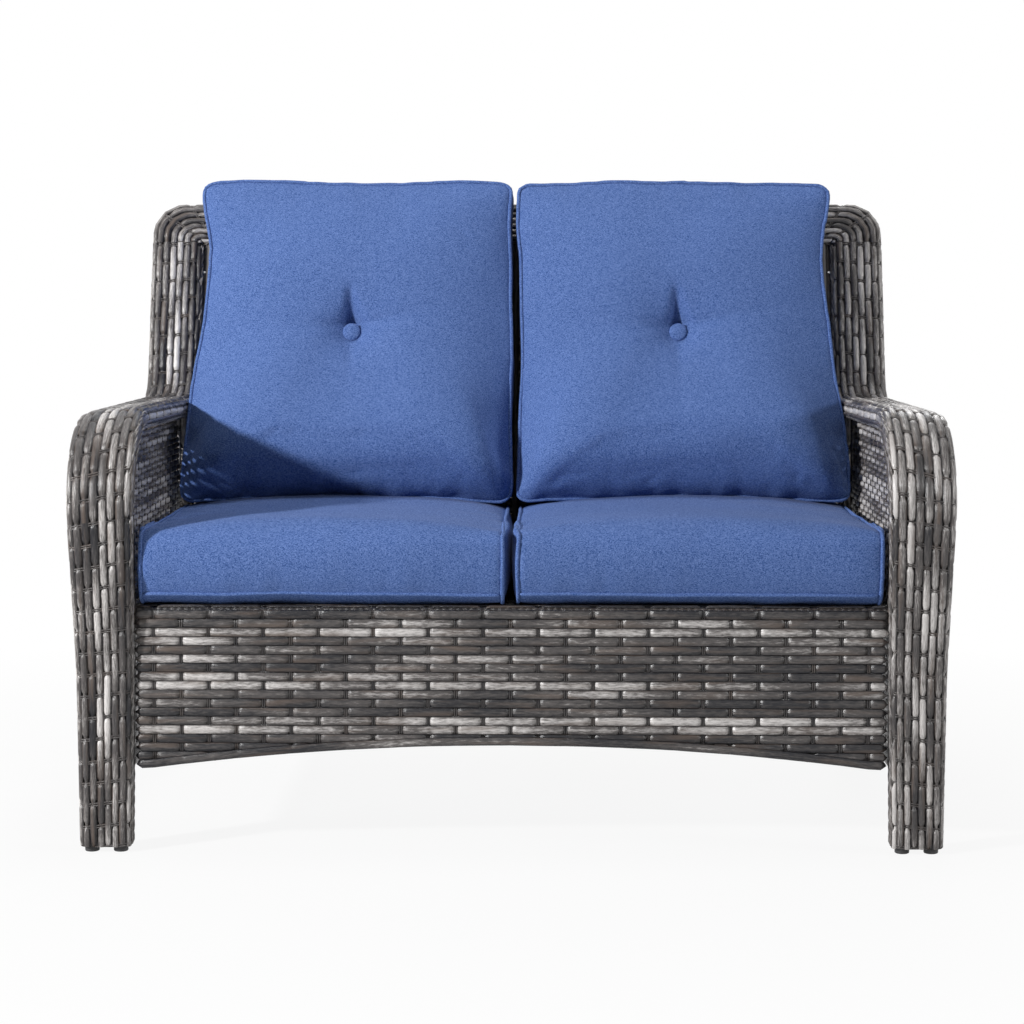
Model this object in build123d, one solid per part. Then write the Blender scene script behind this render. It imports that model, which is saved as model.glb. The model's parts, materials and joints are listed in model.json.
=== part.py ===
"""Two-seat patio loveseat: bent steel tubes sheathed in woven resin strand, with loose cushions.

Millimetres, +Z up, the front faces -Y, +X is the right-hand side as seen from the front.
The origin is on the floor, under the middle of the whole seat.
Each side is a pair of bent tubes that run up the front leg, over the arm and up the wing of the
back. The right side is built here, and the left side is its mirror image.
"""

from build123d import *
import math
import os

# Overall places
ARM_CORNER_Z = 590.0
ARM_CORNER_Y = -364.0
WING_CORNER_Z = 588.0
SEAT_DECK_Z = 338.0
BACK_FOOT_Y = 145.0
BACK_LEAN_DEG = 17.0
BACK_LENGTH = 596.0
FOOT_GLIDE_HEIGHT = 8.0

# Tubes of the side frames
TUBE_DIA = 19.0
TUBE_WALL = 1.4
INNER_FOOT_X = 536.0
INNER_KNEE_X = 531.0
INNER_ARM_X = 525.0
INNER_WING_X = 517.0
OUTER_FOOT_X = 575.0
OUTER_KNEE_X = 577.0
OUTER_ARM_X = 587.0
OUTER_WING_X = 570.0
FRONT_LEG_Y = -334.0
FRONT_KNEE_Z = 250.0
OUTER_ARM_DROP = 8.0
FRONT_KNEE_RADIUS = 400.0
ARM_ROLL_RADIUS = 118.0
WING_BEND_RADIUS = 70.0
REAR_LEG_TOP_Y = 165.0
REAR_KNEE_Y = 222.0
REAR_KNEE_Z = 300.0
REAR_FOOT_Y = 351.6
REAR_KNEE_RADIUS = 450.0
LEG_OVERRUN = 20.0
CUT_OVERRUN = 5.0

# Woven strand sleeve round each pair of tubes
WEAVE_WALL = 5.0
WEAVE_SLACK = 0.5
BAND_CORNER = 12.0
SLEEVE_SAG = 0.25
SEAM_GAP = 0.3
WELD_GAP = 0.1

# Spreaders, welded between the two tubes of a pair
SPREADER_DIA = 10.0

# Side panel and its rails
PANEL_THICKNESS = 6.0
CASING_WALL = 3.2
CASING_SLACK = 0.3
SIDE_PLANE_X = 526.0
SIDE_RAIL_DIA = 14.0
SIDE_RAIL_WALL = 1.2
SIDE_LOWER_RAIL_Z = 122.0
SIDE_SEAT_RAIL_Z = 319.5

# Foot glides
GLIDE_DIA = 20.0
GLIDE_STUB_DIA = 15.6
GLIDE_STUB_LENGTH = 22.0
GLIDE_EDGE = 2.0

# Seat frame
SEAT_TUBE = 25.0
SEAT_TUBE_WALL = 1.5
DECK_THICKNESS = 5.8
DECK_GAP = 0.2
SEAT_SIDE_GAP = 0.3
REAR_RAIL_REACH = 30.0
CROSS_BAR_SPACING = 255.0

# Front apron
APRON_SETBACK = 3.0
APRON_END_GAP = 0.6
APRON_BOTTOM_Z = 116.0
APRON_ARCH_RISE = 32.5
APRON_FLAT = 20.0
APRON_RAIL_DIA = 12.0
APRON_RAIL_WALL = 1.2
APRON_RAIL_INSET = 10.0
APRON_STRUT_SPACING = 250.0
APRON_STRUT_DIA = 10.0

# Back frame and its woven panel
TOP_RAIL_DEPTH = 70.0
RAIL_END_GAP = 0.5
TOP_RAIL_CORNER = 50.0
TOP_RAIL_EDGE = 9.0
BACK_STILE_X = 488.0
BACK_STILE_DIA = 16.0
BACK_STILE_WALL = 1.2
BACK_CASING_WALL = 4.0
BACK_SUPPORT_DIA = 12.0
BACK_SUPPORT_SPACING = 250.0
BACK_BASE_GAP = 0.2
ACCESS_SLOT_LENGTH = 18.0
ACCESS_SLOT_HEIGHT = 18.0

# M6 socket screws and washers
BOLT_DIA = 6.0
BOLT_LENGTH = 40.0
BOLT_HEAD_DIA = 10.0
BOLT_HEAD_HEIGHT = 6.0
BOLT_SOCKET_DIA = 5.0
BOLT_SOCKET_DEPTH = 3.0
BOLT_CLEARANCE = 0.3
THREAD_CLEARANCE = 0.05
WASHER_DIA = 14.0
WASHER_THICKNESS = 1.5
SEAT_BOLT_FRONT_Y = -230.0
SEAT_BOLT_REAR_Y = 90.0
BACK_BOLT_LOW = 360.0
BACK_BOLT_HIGH = 480.0

# Cushions
CUSHION_GAP = 0.3
COVER_WALL = 1.5
SEAT_CUSHION_FRONT_Y = -346.0
SEAT_CUSHION_REAR_Y = 136.0
SEAT_CUSHION_OUTER_X = 509.5
CUSHION_HALF_SPLIT = 1.0
SEAT_CUSHION_EDGE = 104.0
SEAT_CUSHION_CROWN = 13.0
SEAT_CUSHION_BULGE = 10.0
SEAT_CUSHION_BOW = 4.0
SEAT_CUSHION_DRAW_IN = 4.0
BACK_CUSHION_OUTER_X = 498.5
BACK_CUSHION_TOP = 593.0
BACK_CUSHION_TOP_THICKNESS = 112.0
BACK_CUSHION_BASE_DEPTH = 138.0
BACK_CUSHION_CROWN = 22.0
BACK_CUSHION_TOP_CROWN = 8.0
BACK_CUSHION_BULGE = 9.0
BACK_CUSHION_DRAW_IN = 4.0
TUFT_HEIGHT = 343.0
TUFT_RADIUS = 88.0
TUFT_DEPTH = 30.0
TUFT_FLOOR_DIA = 32.0
TUFT_SHOULDER = 9.0
BUTTON_DIA = 28.0
BUTTON_RIM = 3.0
BUTTON_HEIGHT = 9.0
REAR_BUTTON_DIA = 24.0
REAR_BUTTON_THICKNESS = 3.0
REAR_BUTTON_RECESS = 4.0
CORD_DIA = 2.4

# Shares, each of the length that it follows
SPREADER_SHARES = ((0, 0.28), (2, 0.3), (3, 0.15), (3, 0.85), (4, 0.5), (6, 0.25), (6, 0.85))
REAR_SPREADER_SHARES = ((0, 0.55), (2, 0.45))
CUSHION_STATION_SHARES = (0.0, 0.03, 0.1, 0.25, 0.5, 0.75, 0.9, 0.97, 1.0)
TUFT_MID_RADIUS_SHARE = 0.5
FULLNESS_SHARE = 0.6
STRAIGHT_SHARE = 0.0001

# Sizes that follow from those above
bore_dia = TUBE_DIA + 2 * WEAVE_SLACK
half_band = bore_dia / 2 + WEAVE_WALL
back_plane = Plane(
    origin=(0, BACK_FOOT_Y, SEAT_DECK_Z),
    x_dir=(1, 0, 0),
    z_dir=(0, -math.cos(math.radians(BACK_LEAN_DEG)), math.sin(math.radians(BACK_LEAN_DEG))),
)
wing_top = BACK_LENGTH - TOP_RAIL_DEPTH
wing_corner = (WING_CORNER_Z - SEAT_DECK_Z) / math.cos(math.radians(BACK_LEAN_DEG))
lower_rail_height = wing_top + half_band
lower_rail_underside = lower_rail_height - TUBE_DIA / 2 - WELD_GAP
upper_rail_height = BACK_LENGTH - half_band
seat_tube_top = SEAT_DECK_Z - DECK_THICKNESS - DECK_GAP
side_casing_radius = SIDE_RAIL_DIA / 2 + CASING_SLACK + CASING_WALL
seat_half_width = SIDE_PLANE_X - side_casing_radius - SEAT_SIDE_GAP


def on_back(x, height, forward=0.0):
    """Point on the leaning back: x across, height up the slope, forward of its middle plane."""
    return back_plane.from_local_coords(Vector(x, height, forward))


def rod(path, diameter):
    """Solid round bar along a path of tangent lines and arcs."""
    return sweep(Plane(origin=path @ 0, z_dir=path % 0) * Circle(diameter / 2), path=path)


def bent_tube(path, diameter, wall):
    return rod(path, diameter) - rod(path, diameter - 2 * wall)


def floor_cut(solid, height):
    """Trims away what is lower than the given height."""
    box = solid.bounding_box()
    span = box.size.length + LEG_OVERRUN
    below = Pos(box.center().X, box.center().Y, height - span / 2) * Box(2 * span, 2 * span, span)
    return solid - below


def square_tube(start, end, across, up, wall):
    """Hollow rectangular tube between two points, with its sides along the world axes."""
    middle = (start + end) * 0.5
    along = end - start
    if abs(along.X) > abs(along.Y):
        outer = Box(along.length, across, up)
        bore = Box(along.length, across - 2 * wall, up - 2 * wall)
    else:
        outer = Box(across, along.length, up)
        bore = Box(across - 2 * wall, along.length, up - 2 * wall)
    return Pos(*middle) * (outer - bore)


def mirrored(shape):
    return mirror(shape, about=Plane.YZ)


def group(solids):
    """Several separate solids as one node."""
    return Compound([piece for solid in solids for piece in solid.solids()])


# Routes of the tubes
def side_route(foot_x, knee_x, arm_x, wing_x, drop, top):
    """Front leg, arm and wing in one run, for the inner or the outer tube."""
    return FilletPolyline(
        (foot_x, FRONT_LEG_Y, FOOT_GLIDE_HEIGHT - LEG_OVERRUN),
        (knee_x, FRONT_LEG_Y, FRONT_KNEE_Z),
        (arm_x, ARM_CORNER_Y, ARM_CORNER_Z - drop),
        on_back(wing_x, wing_corner),
        on_back(wing_x, top),
        radius=[FRONT_KNEE_RADIUS, ARM_ROLL_RADIUS, WING_BEND_RADIUS],
    )


def rear_route(top_x, knee_x, foot_x):
    """Rear leg, from the arm down to the floor."""
    knee = Vector(knee_x, REAR_KNEE_Y, REAR_KNEE_Z)
    foot = Vector(foot_x, REAR_FOOT_Y, FOOT_GLIDE_HEIGHT)
    overrun = (foot - knee).normalized() * LEG_OVERRUN
    return FilletPolyline(
        (top_x, REAR_LEG_TOP_Y, WING_CORNER_Z), knee, foot + overrun, radius=[REAR_KNEE_RADIUS]
    )


inner_places = (INNER_FOOT_X, INNER_KNEE_X, INNER_ARM_X, INNER_WING_X, 0)
outer_places = (OUTER_FOOT_X, OUTER_KNEE_X, OUTER_ARM_X, OUTER_WING_X, OUTER_ARM_DROP)
inner_route = side_route(*inner_places, wing_top)
inner_tube_route = side_route(*inner_places, lower_rail_underside)
outer_route = side_route(*outer_places, wing_top)
inner_rear_route = rear_route(INNER_WING_X, (INNER_WING_X + INNER_FOOT_X) / 2, INNER_FOOT_X)
outer_rear_route = rear_route(OUTER_WING_X, (OUTER_WING_X + OUTER_FOOT_X) / 2, OUTER_FOOT_X)


# Woven sleeves
def band_planes(first_edge, last_edge, inner, outer):
    """Cross-section planes and tube spacings along a pair of routes."""
    pairs = list(zip(inner.edges(), outer.edges()))[first_edge : last_edge + 1]
    places = []
    for near, far in pairs:
        steps = 1
        if near.geom_type == GeomType.CIRCLE:
            step_length = 2 * near.radius * math.acos(1 - SLEEVE_SAG / near.radius)
            steps = math.ceil(near.length / step_length)
        places += [(near, far, step / steps) for step in range(steps)]
    places.append((*pairs[-1], 1.0))
    planes = []
    for near, far, share in places:
        across = far @ share - near @ share
        tangent = (near % share) + (far % share)
        middle = (far @ share + near @ share) * 0.5
        plane = Plane(origin=middle, x_dir=across.normalized(), z_dir=tangent.normalized())
        planes.append((plane, across.length))
    return planes


def band_loft(planes, inset):
    """Rounded flat bar through the planes, inset from the outside of the weave."""
    margin = half_band - inset
    sections = [
        plane * RectangleRounded(spacing + 2 * margin, 2 * margin, BAND_CORNER - inset)
        for plane, spacing in planes
    ]
    return loft(sections, ruled=True)


def sleeve(planes):
    return band_loft(planes, 0) - band_loft(planes, WEAVE_WALL)


leg_planes = band_planes(0, 2, inner_route, outer_route)
arm_planes = band_planes(3, 4, inner_route, outer_route)
wing_planes = band_planes(5, 6, inner_route, outer_route)
rear_planes = band_planes(0, 2, inner_rear_route, outer_rear_route)


# Side frame tubes
lower_rail_reach = OUTER_WING_X - TUBE_DIA / 2 - RAIL_END_GAP
lower_rail_path = Line(
    on_back(-lower_rail_reach, lower_rail_height), on_back(lower_rail_reach, lower_rail_height)
)
upper_rail_path = FilletPolyline(
    on_back(-OUTER_WING_X, wing_top),
    on_back(-OUTER_WING_X, upper_rail_height),
    on_back(OUTER_WING_X, upper_rail_height),
    on_back(OUTER_WING_X, wing_top),
    radius=TOP_RAIL_CORNER - half_band,
)
inner_rod = rod(inner_tube_route, TUBE_DIA)
outer_rod = rod(outer_route, TUBE_DIA)
inner_rear_rod = rod(inner_rear_route, TUBE_DIA)
outer_rear_rod = rod(outer_rear_route, TUBE_DIA)


def front_leg_share(height):
    """How far up a height lies from the knee of the front leg to the arm, from 0 to 1."""
    return max(0, (height - FRONT_KNEE_Z) / (ARM_CORNER_Z - FRONT_KNEE_Z))


def side_rail_ends(height):
    """Middle points of the front and rear legs at one height, in the plane of the side panel."""
    front_y = FRONT_LEG_Y + front_leg_share(height) * (ARM_CORNER_Y - FRONT_LEG_Y)
    if height > REAR_KNEE_Z:
        rise = (height - REAR_KNEE_Z) / (WING_CORNER_Z - REAR_KNEE_Z)
        rear_y = REAR_KNEE_Y + rise * (REAR_LEG_TOP_Y - REAR_KNEE_Y)
    else:
        drop = (REAR_KNEE_Z - height) / (REAR_KNEE_Z - FOOT_GLIDE_HEIGHT)
        rear_y = REAR_KNEE_Y + drop * (REAR_FOOT_Y - REAR_KNEE_Y)
    return Vector(SIDE_PLANE_X, front_y, height), Vector(SIDE_PLANE_X, rear_y, height)


def side_rail(height, diameter):
    return rod(Line(*side_rail_ends(height)), diameter)


def spreaders():
    """Short bars across each pair of tubes, with their ends shaped to the tubes."""
    bars = []
    inner_edges = inner_route.edges()
    outer_edges = outer_route.edges()
    for index, share in SPREADER_SHARES:
        bar = rod(Line(inner_edges[index] @ share, outer_edges[index] @ share), SPREADER_DIA)
        bars.append(bar - inner_rod - outer_rod)
    inner_edges = inner_rear_route.edges()
    outer_edges = outer_rear_route.edges()
    for index, share in REAR_SPREADER_SHARES:
        bar = rod(Line(inner_edges[index] @ share, outer_edges[index] @ share), SPREADER_DIA)
        bars.append(bar - inner_rear_rod - outer_rear_rod)
    return group(bars)


# Side panel
def side_outline(margin):
    """Area between the legs and under the arm, inside the bands by the given margin."""
    bottom = SIDE_LOWER_RAIL_Z - side_casing_radius
    slope = (REAR_FOOT_Y - REAR_KNEE_Y) / (REAR_KNEE_Z - FOOT_GLIDE_HEIGHT)
    low = bottom - margin
    corners = [
        (FRONT_LEG_Y, low),
        (FRONT_LEG_Y, FRONT_KNEE_Z),
        (ARM_CORNER_Y, ARM_CORNER_Z),
        (REAR_LEG_TOP_Y, WING_CORNER_Z),
        (REAR_KNEE_Y, REAR_KNEE_Z),
        (REAR_KNEE_Y + slope * (REAR_KNEE_Z - low), low),
    ]
    radii = [0, FRONT_KNEE_RADIUS, ARM_ROLL_RADIUS, 0, REAR_KNEE_RADIUS, 0]
    edge = FilletPolyline(*corners, radius=radii, close=True)
    return offset(make_face(edge.edges()), amount=-margin, kind=Kind.INTERSECTION)


def side_panel():
    outline = Plane.YZ.offset(SIDE_PLANE_X) * side_outline(half_band + SEAM_GAP)
    panel = extrude(outline, amount=PANEL_THICKNESS / 2, both=True)
    thick = extrude(outline, amount=side_casing_radius, both=True)
    for height in (SIDE_LOWER_RAIL_Z, SIDE_SEAT_RAIL_Z):
        panel += side_rail(height, 2 * side_casing_radius) & thick
    for height in (SIDE_LOWER_RAIL_Z, SIDE_SEAT_RAIL_Z):
        panel -= side_rail(height, SIDE_RAIL_DIA + 2 * CASING_SLACK)
    return panel


# Foot glides
def glide(foot, toward):
    """Plastic foot with a stub up into the tube."""
    head = Pos(foot.X, foot.Y, FOOT_GLIDE_HEIGHT / 2) * Cylinder(GLIDE_DIA / 2, FOOT_GLIDE_HEIGHT)
    head = fillet(head.edges().sort_by(Axis.Z)[0], GLIDE_EDGE)
    base = Vector(foot.X, foot.Y, FOOT_GLIDE_HEIGHT)
    stub = rod(Line(base - toward * CUT_OVERRUN, base + toward * GLIDE_STUB_LENGTH), GLIDE_STUB_DIA)
    return head + floor_cut(stub, FOOT_GLIDE_HEIGHT)


def foot_place(route, at_start):
    """Where a route meets the level of the glide's head, and the way up its tube."""
    edge = route.edges()[0 if at_start else -1]
    end = edge @ 0 if at_start else edge @ 1
    up = edge % 0 if at_start else (edge % 1) * -1
    return end + up * ((FOOT_GLIDE_HEIGHT - end.Z) / up.Z), up


def glides(routes, at_start):
    return group([glide(*foot_place(route, at_start)) for route in routes])


# Screws and washers, all across the seat
def screw(seat):
    """Socket screw whose head bears at the seat point and whose shank runs toward +X."""
    shank = rod(Line(seat, seat + Vector(BOLT_LENGTH, 0, 0)), BOLT_DIA)
    top = seat - Vector(BOLT_HEAD_HEIGHT, 0, 0)
    head = rod(Line(top, seat), BOLT_HEAD_DIA)
    socket = rod(Line(top, top + Vector(BOLT_SOCKET_DEPTH, 0, 0)), BOLT_SOCKET_DIA)
    return head + shank - socket


def washer(seat):
    """Plain washer between the head and the face that it bears on."""
    path = Line(seat, seat + Vector(WASHER_THICKNESS, 0, 0))
    return rod(path, WASHER_DIA) - rod(path, BOLT_DIA + 2 * BOLT_CLEARANCE)


def bore(seat, clearance):
    path = Line(seat, seat + Vector(BOLT_LENGTH + CUT_OVERRUN, 0, 0))
    return rod(path, BOLT_DIA + 2 * clearance)


seat_bolt_x = seat_half_width - SEAT_TUBE - WASHER_THICKNESS
back_casing_radius = BACK_STILE_DIA / 2 + CASING_SLACK + BACK_CASING_WALL
back_bolt_x = BACK_STILE_X - back_casing_radius - WASHER_THICKNESS
seat_bolt_seats = [
    Vector(seat_bolt_x, y, SIDE_SEAT_RAIL_Z) for y in (SEAT_BOLT_FRONT_Y, SEAT_BOLT_REAR_Y)
]
back_bolt_seats = [on_back(back_bolt_x, height) for height in (BACK_BOLT_LOW, BACK_BOLT_HIGH)]
seat_bores = [bore(seat, BOLT_CLEARANCE) for seat in seat_bolt_seats]
seat_threads = [bore(seat, THREAD_CLEARANCE) for seat in seat_bolt_seats]
back_bores = [bore(seat, BOLT_CLEARANCE) for seat in back_bolt_seats]
back_threads = [bore(seat, THREAD_CLEARANCE) for seat in back_bolt_seats]


def both_sides(solids):
    return [*solids, *[mirrored(solid) for solid in solids]]


# Seat frame
front_rail_front = FRONT_LEG_Y - APRON_SETBACK + PANEL_THICKNESS + SEAM_GAP
rear_rail_rear = BACK_FOOT_Y + REAR_RAIL_REACH
rail_z = seat_tube_top - SEAT_TUBE / 2


def seat_cross_rail(near_y):
    middle_y = near_y + SEAT_TUBE / 2
    ends = Vector(-seat_half_width, middle_y, rail_z), Vector(seat_half_width, middle_y, rail_z)
    return square_tube(*ends, SEAT_TUBE, SEAT_TUBE, SEAT_TUBE_WALL)


def seat_long_bar(x):
    front = Vector(x, front_rail_front + SEAT_TUBE, rail_z)
    rear = Vector(x, rear_rail_rear - SEAT_TUBE, rail_z)
    return square_tube(front, rear, SEAT_TUBE, SEAT_TUBE, SEAT_TUBE_WALL)


def seat_deck():
    front = front_rail_front
    depth = rear_rail_rear - front
    middle = Pos(0, front + depth / 2, SEAT_DECK_Z - DECK_THICKNESS / 2)
    return middle * Box(2 * seat_half_width, depth, DECK_THICKNESS)


# Front apron
leg_share = front_leg_share(SEAT_DECK_Z)
leg_inner_x = INNER_KNEE_X + leg_share * (INNER_ARM_X - INNER_KNEE_X) - half_band
apron_half_width = leg_inner_x - APRON_END_GAP
apron_rail_y = front_rail_front + APRON_RAIL_DIA / 2 + CASING_SLACK
apron_casing_radius = APRON_RAIL_DIA / 2 + CASING_SLACK + CASING_WALL
apron_strut_places = [index * APRON_STRUT_SPACING for index in range(-1, 2)]


def arch(inset):
    """The lower edge of the apron, raised by the inset."""
    reach = apron_half_width - APRON_FLAT
    low = APRON_BOTTOM_Z + inset
    return ThreePointArc((-reach, low), (0, low + APRON_ARCH_RISE), (reach, low))


def apron_face():
    curve = arch(0)
    low = APRON_BOTTOM_Z
    rest = Polyline(
        curve @ 1,
        (apron_half_width, low),
        (apron_half_width, SEAT_DECK_Z),
        (-apron_half_width, SEAT_DECK_Z),
        (-apron_half_width, low),
        curve @ 0,
    )
    return make_face([*curve.edges(), *rest.edges()])


apron_rail_plane = Plane(origin=(0, apron_rail_y, 0), x_dir=(1, 0, 0), z_dir=(0, -1, 0))
apron_rail_route = apron_rail_plane * arch(APRON_RAIL_INSET)
apron_front_plane = Plane(
    origin=(0, FRONT_LEG_Y - APRON_SETBACK, 0), x_dir=(1, 0, 0), z_dir=(0, -1, 0)
)


def apron():
    sheet = extrude(apron_front_plane * apron_face(), amount=-PANEL_THICKNESS)
    casing = rod(apron_rail_route, 2 * apron_casing_radius)
    hem = sheet + casing - rod(apron_rail_route, APRON_RAIL_DIA + 2 * CASING_SLACK)
    for x in apron_strut_places:
        hem -= apron_strut(x, APRON_STRUT_DIA + 2 * CASING_SLACK)
    return hem


def arch_height(x):
    """Height of the arched rail's middle line at a place across the apron."""
    reach = apron_half_width - APRON_FLAT
    radius = (reach**2 + APRON_ARCH_RISE**2) / (2 * APRON_ARCH_RISE)
    crest = APRON_BOTTOM_Z + APRON_RAIL_INSET + APRON_ARCH_RISE
    return crest - radius + math.sqrt(radius**2 - x**2)


def apron_strut(x, diameter):
    """Upright bar from the front rail down to the arched rail."""
    foot = Vector(x, apron_rail_y, arch_height(x))
    head = Vector(x, apron_rail_y, seat_tube_top - SEAT_TUBE)
    return rod(Line(foot, head), diameter)


def apron_struts():
    rail = rod(apron_rail_route, APRON_RAIL_DIA)
    return group([apron_strut(x, APRON_STRUT_DIA) - rail for x in apron_strut_places])


# Back frame
back_base_height = (back_casing_radius + BACK_BASE_GAP) / math.cos(math.radians(BACK_LEAN_DEG))
bottom_rail_reach = BACK_STILE_X - BACK_STILE_DIA / 2 - WELD_GAP
bottom_rail_route = Line(
    on_back(-bottom_rail_reach, back_base_height), on_back(bottom_rail_reach, back_base_height)
)
support_places = [index * BACK_SUPPORT_SPACING for index in range(-1, 2)]


def upright(x, base, diameter):
    """Bar up the slope of the back, from a base height to the underside of the top rail's tube."""
    return rod(Line(on_back(x, base), on_back(x, lower_rail_underside)), diameter)


def stile(diameter):
    return upright(BACK_STILE_X, back_base_height, diameter)


def support(x, diameter):
    return upright(x, back_base_height + BACK_STILE_DIA / 2 + WELD_GAP, diameter)


def top_rail_outline(inset):
    """Face of the top rail in the plane of the back, with its two rounded shoulders."""
    half = OUTER_WING_X + half_band - inset
    low = wing_top + inset
    high = BACK_LENGTH - inset
    outline = FilletPolyline(
        (-half, low),
        (-half, high),
        (half, high),
        (half, low),
        radius=TOP_RAIL_CORNER - inset,
    )
    base = Line((half, low), (-half, low))
    return make_face([*outline.edges(), *base.edges()])


def top_rail_weave():
    outer = extrude(back_plane * top_rail_outline(0), amount=half_band, both=True)
    straight_length = 2 * (OUTER_WING_X + half_band - TOP_RAIL_CORNER)
    along = outer.edges().filter_by(lambda edge: edge.length > straight_length - TOP_RAIL_EDGE)
    top_edges = along.filter_by(lambda edge: (edge @ 0).Z > on_back(0, upper_rail_height).Z)
    shoulder_edges = outer.edges().filter_by(GeomType.CIRCLE)
    outer = fillet(top_edges + shoulder_edges, TOP_RAIL_EDGE)
    hollow = extrude(
        back_plane * top_rail_outline(WEAVE_WALL), amount=half_band - WEAVE_WALL, both=True
    )
    weave = outer - hollow
    for x in (-OUTER_WING_X, -INNER_WING_X, INNER_WING_X, OUTER_WING_X):
        weave -= upright(x, 0, bore_dia)
    for x in (-BACK_STILE_X, BACK_STILE_X):
        weave -= upright(x, 0, BACK_STILE_DIA + 2 * CASING_SLACK)
    for x in support_places:
        weave -= support(x, BACK_SUPPORT_DIA + 2 * CASING_SLACK)
    return weave


def back_panel():
    """Woven sheet with a sewn-in casing round each upright and round the bottom rail."""
    height = wing_top - back_base_height
    middle = back_base_height + height / 2
    panel = back_plane * Pos(0, middle, 0) * Box(2 * BACK_STILE_X, height, PANEL_THICKNESS)
    support_casing = BACK_SUPPORT_DIA + 2 * (CASING_SLACK + CASING_WALL)
    casings = [stile(2 * back_casing_radius), rod(bottom_rail_route, 2 * back_casing_radius)]
    casings.append(mirrored(casings[0]))
    casings += [support(x, support_casing) for x in support_places]
    for x in (-BACK_STILE_X, BACK_STILE_X):
        casings.append(Pos(*on_back(x, back_base_height)) * Sphere(back_casing_radius))
    for casing in casings:
        panel += casing
    above = Rectangle(2 * OUTER_WING_X, 2 * half_band)
    panel -= extrude(
        back_plane * Pos(0, wing_top + half_band) * above, amount=half_band, both=True
    )
    stile_bore = stile(BACK_STILE_DIA + 2 * CASING_SLACK)
    panel = panel - stile_bore - mirrored(stile_bore)
    panel -= rod(bottom_rail_route, BACK_STILE_DIA + 2 * CASING_SLACK)
    for x in support_places:
        panel -= support(x, BACK_SUPPORT_DIA + 2 * CASING_SLACK)
    for cut in both_sides([*back_bores, *access_slots()]):
        panel -= cut
    return panel


def access_slots():
    """Gaps in the weave that let a key reach the heads of the back screws."""
    end_x = BACK_STILE_X - back_casing_radius
    middle_x = end_x - ACCESS_SLOT_LENGTH / 2
    slot = Box(ACCESS_SLOT_LENGTH, ACCESS_SLOT_HEIGHT, 2 * back_casing_radius)
    return [
        back_plane * Pos(middle_x, height, 0) * slot for height in (BACK_BOLT_LOW, BACK_BOLT_HIGH)
    ]


# Cushions
def swell(share):
    """Rises from 0 at each end of a cushion to 1 along its middle."""
    return math.sin(math.pi * min(share, 1 - share)) ** FULLNESS_SHARE


def seat_cushion_form(inset):
    """Boxed seat cushion: flat base, crowned top, bulging front and drawn-in sides."""
    front = SEAT_CUSHION_FRONT_Y + inset
    depth = SEAT_CUSHION_REAR_Y - inset - front
    base = SEAT_DECK_Z + CUSHION_GAP + inset
    sections = []
    for share in CUSHION_STATION_SHARES:
        rise = swell(share)
        end_inset = SEAT_CUSHION_BULGE * (1 - min(1, rise / swell(CUSHION_STATION_SHARES[2])))
        draw = SEAT_CUSHION_DRAW_IN * rise + end_inset + inset + SEAT_CUSHION_BOW
        left = CUSHION_HALF_SPLIT + draw
        right = SEAT_CUSHION_OUTER_X - draw
        low = base + end_inset
        high = base + SEAT_CUSHION_EDGE - 2 * inset - end_inset
        crown = SEAT_CUSHION_CROWN * rise
        bow = SEAT_CUSHION_BOW
        middle_x = (left + right) / 2
        middle_z = (low + high) / 2
        outline = [
            *Line((left, low), (right, low)).edges(),
            *bowed((right, low), (right + bow, middle_z), (right, high)),
            *bowed((right, high), (middle_x, high + crown), (left, high)),
            *bowed((left, high), (left - bow, middle_z), (left, low)),
        ]
        plane = Plane(origin=(0, front + share * depth, 0), x_dir=(1, 0, 0), z_dir=(0, -1, 0))
        sections.append(plane * make_face(outline))
    return loft(sections, ruled=True)


def bowed(start, through, end):
    """An arc, or a straight line where the middle point is level with the ends."""
    chord = Line(start, end)
    if (Vector(*through) - chord @ 0.5).length < STRAIGHT_SHARE * chord.length:
        return chord.edges()
    return ThreePointArc(start, through, end).edges()


seat_cushion_top = SEAT_DECK_Z + CUSHION_GAP + SEAT_CUSHION_EDGE + SEAT_CUSHION_CROWN
back_cushion_base_z = seat_cushion_top + CUSHION_GAP
back_face = half_band + CUSHION_GAP


def back_cushion_section(inset, end_inset, rise):
    """Side view of the back cushion, in Y and Z: it leans on the back and stands on the seat."""
    forward = back_face + inset + end_inset
    low_z = back_cushion_base_z + inset + end_inset
    up = on_back(0, 1) - on_back(0, 0)
    heel = on_back(0, 0, forward)
    heel += up * ((low_z - heel.Z) / up.Z)
    toe = heel - Vector(0, BACK_CUSHION_BASE_DEPTH - 2 * (inset + end_inset), 0)
    top = BACK_CUSHION_TOP - inset - end_inset - BACK_CUSHION_DRAW_IN * rise
    thickness = BACK_CUSHION_TOP_THICKNESS - 2 * (inset + end_inset)
    back_top = on_back(0, top, forward)
    front_top = on_back(0, top, forward + thickness)
    normal = on_back(0, 0, 1) - on_back(0, 0)
    belly = (toe + front_top) * 0.5 + normal * BACK_CUSHION_CROWN * rise
    cap = (back_top + front_top) * 0.5 + up * BACK_CUSHION_TOP_CROWN * rise
    flat = [(point.Y, point.Z) for point in (heel, toe, belly, front_top, cap, back_top)]
    heel, toe, belly, front_top, cap, back_top = flat
    return make_face([
        *Line(heel, toe).edges(),
        *bowed(toe, belly, front_top),
        *bowed(front_top, cap, back_top),
        *Line(back_top, heel).edges(),
    ])


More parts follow.
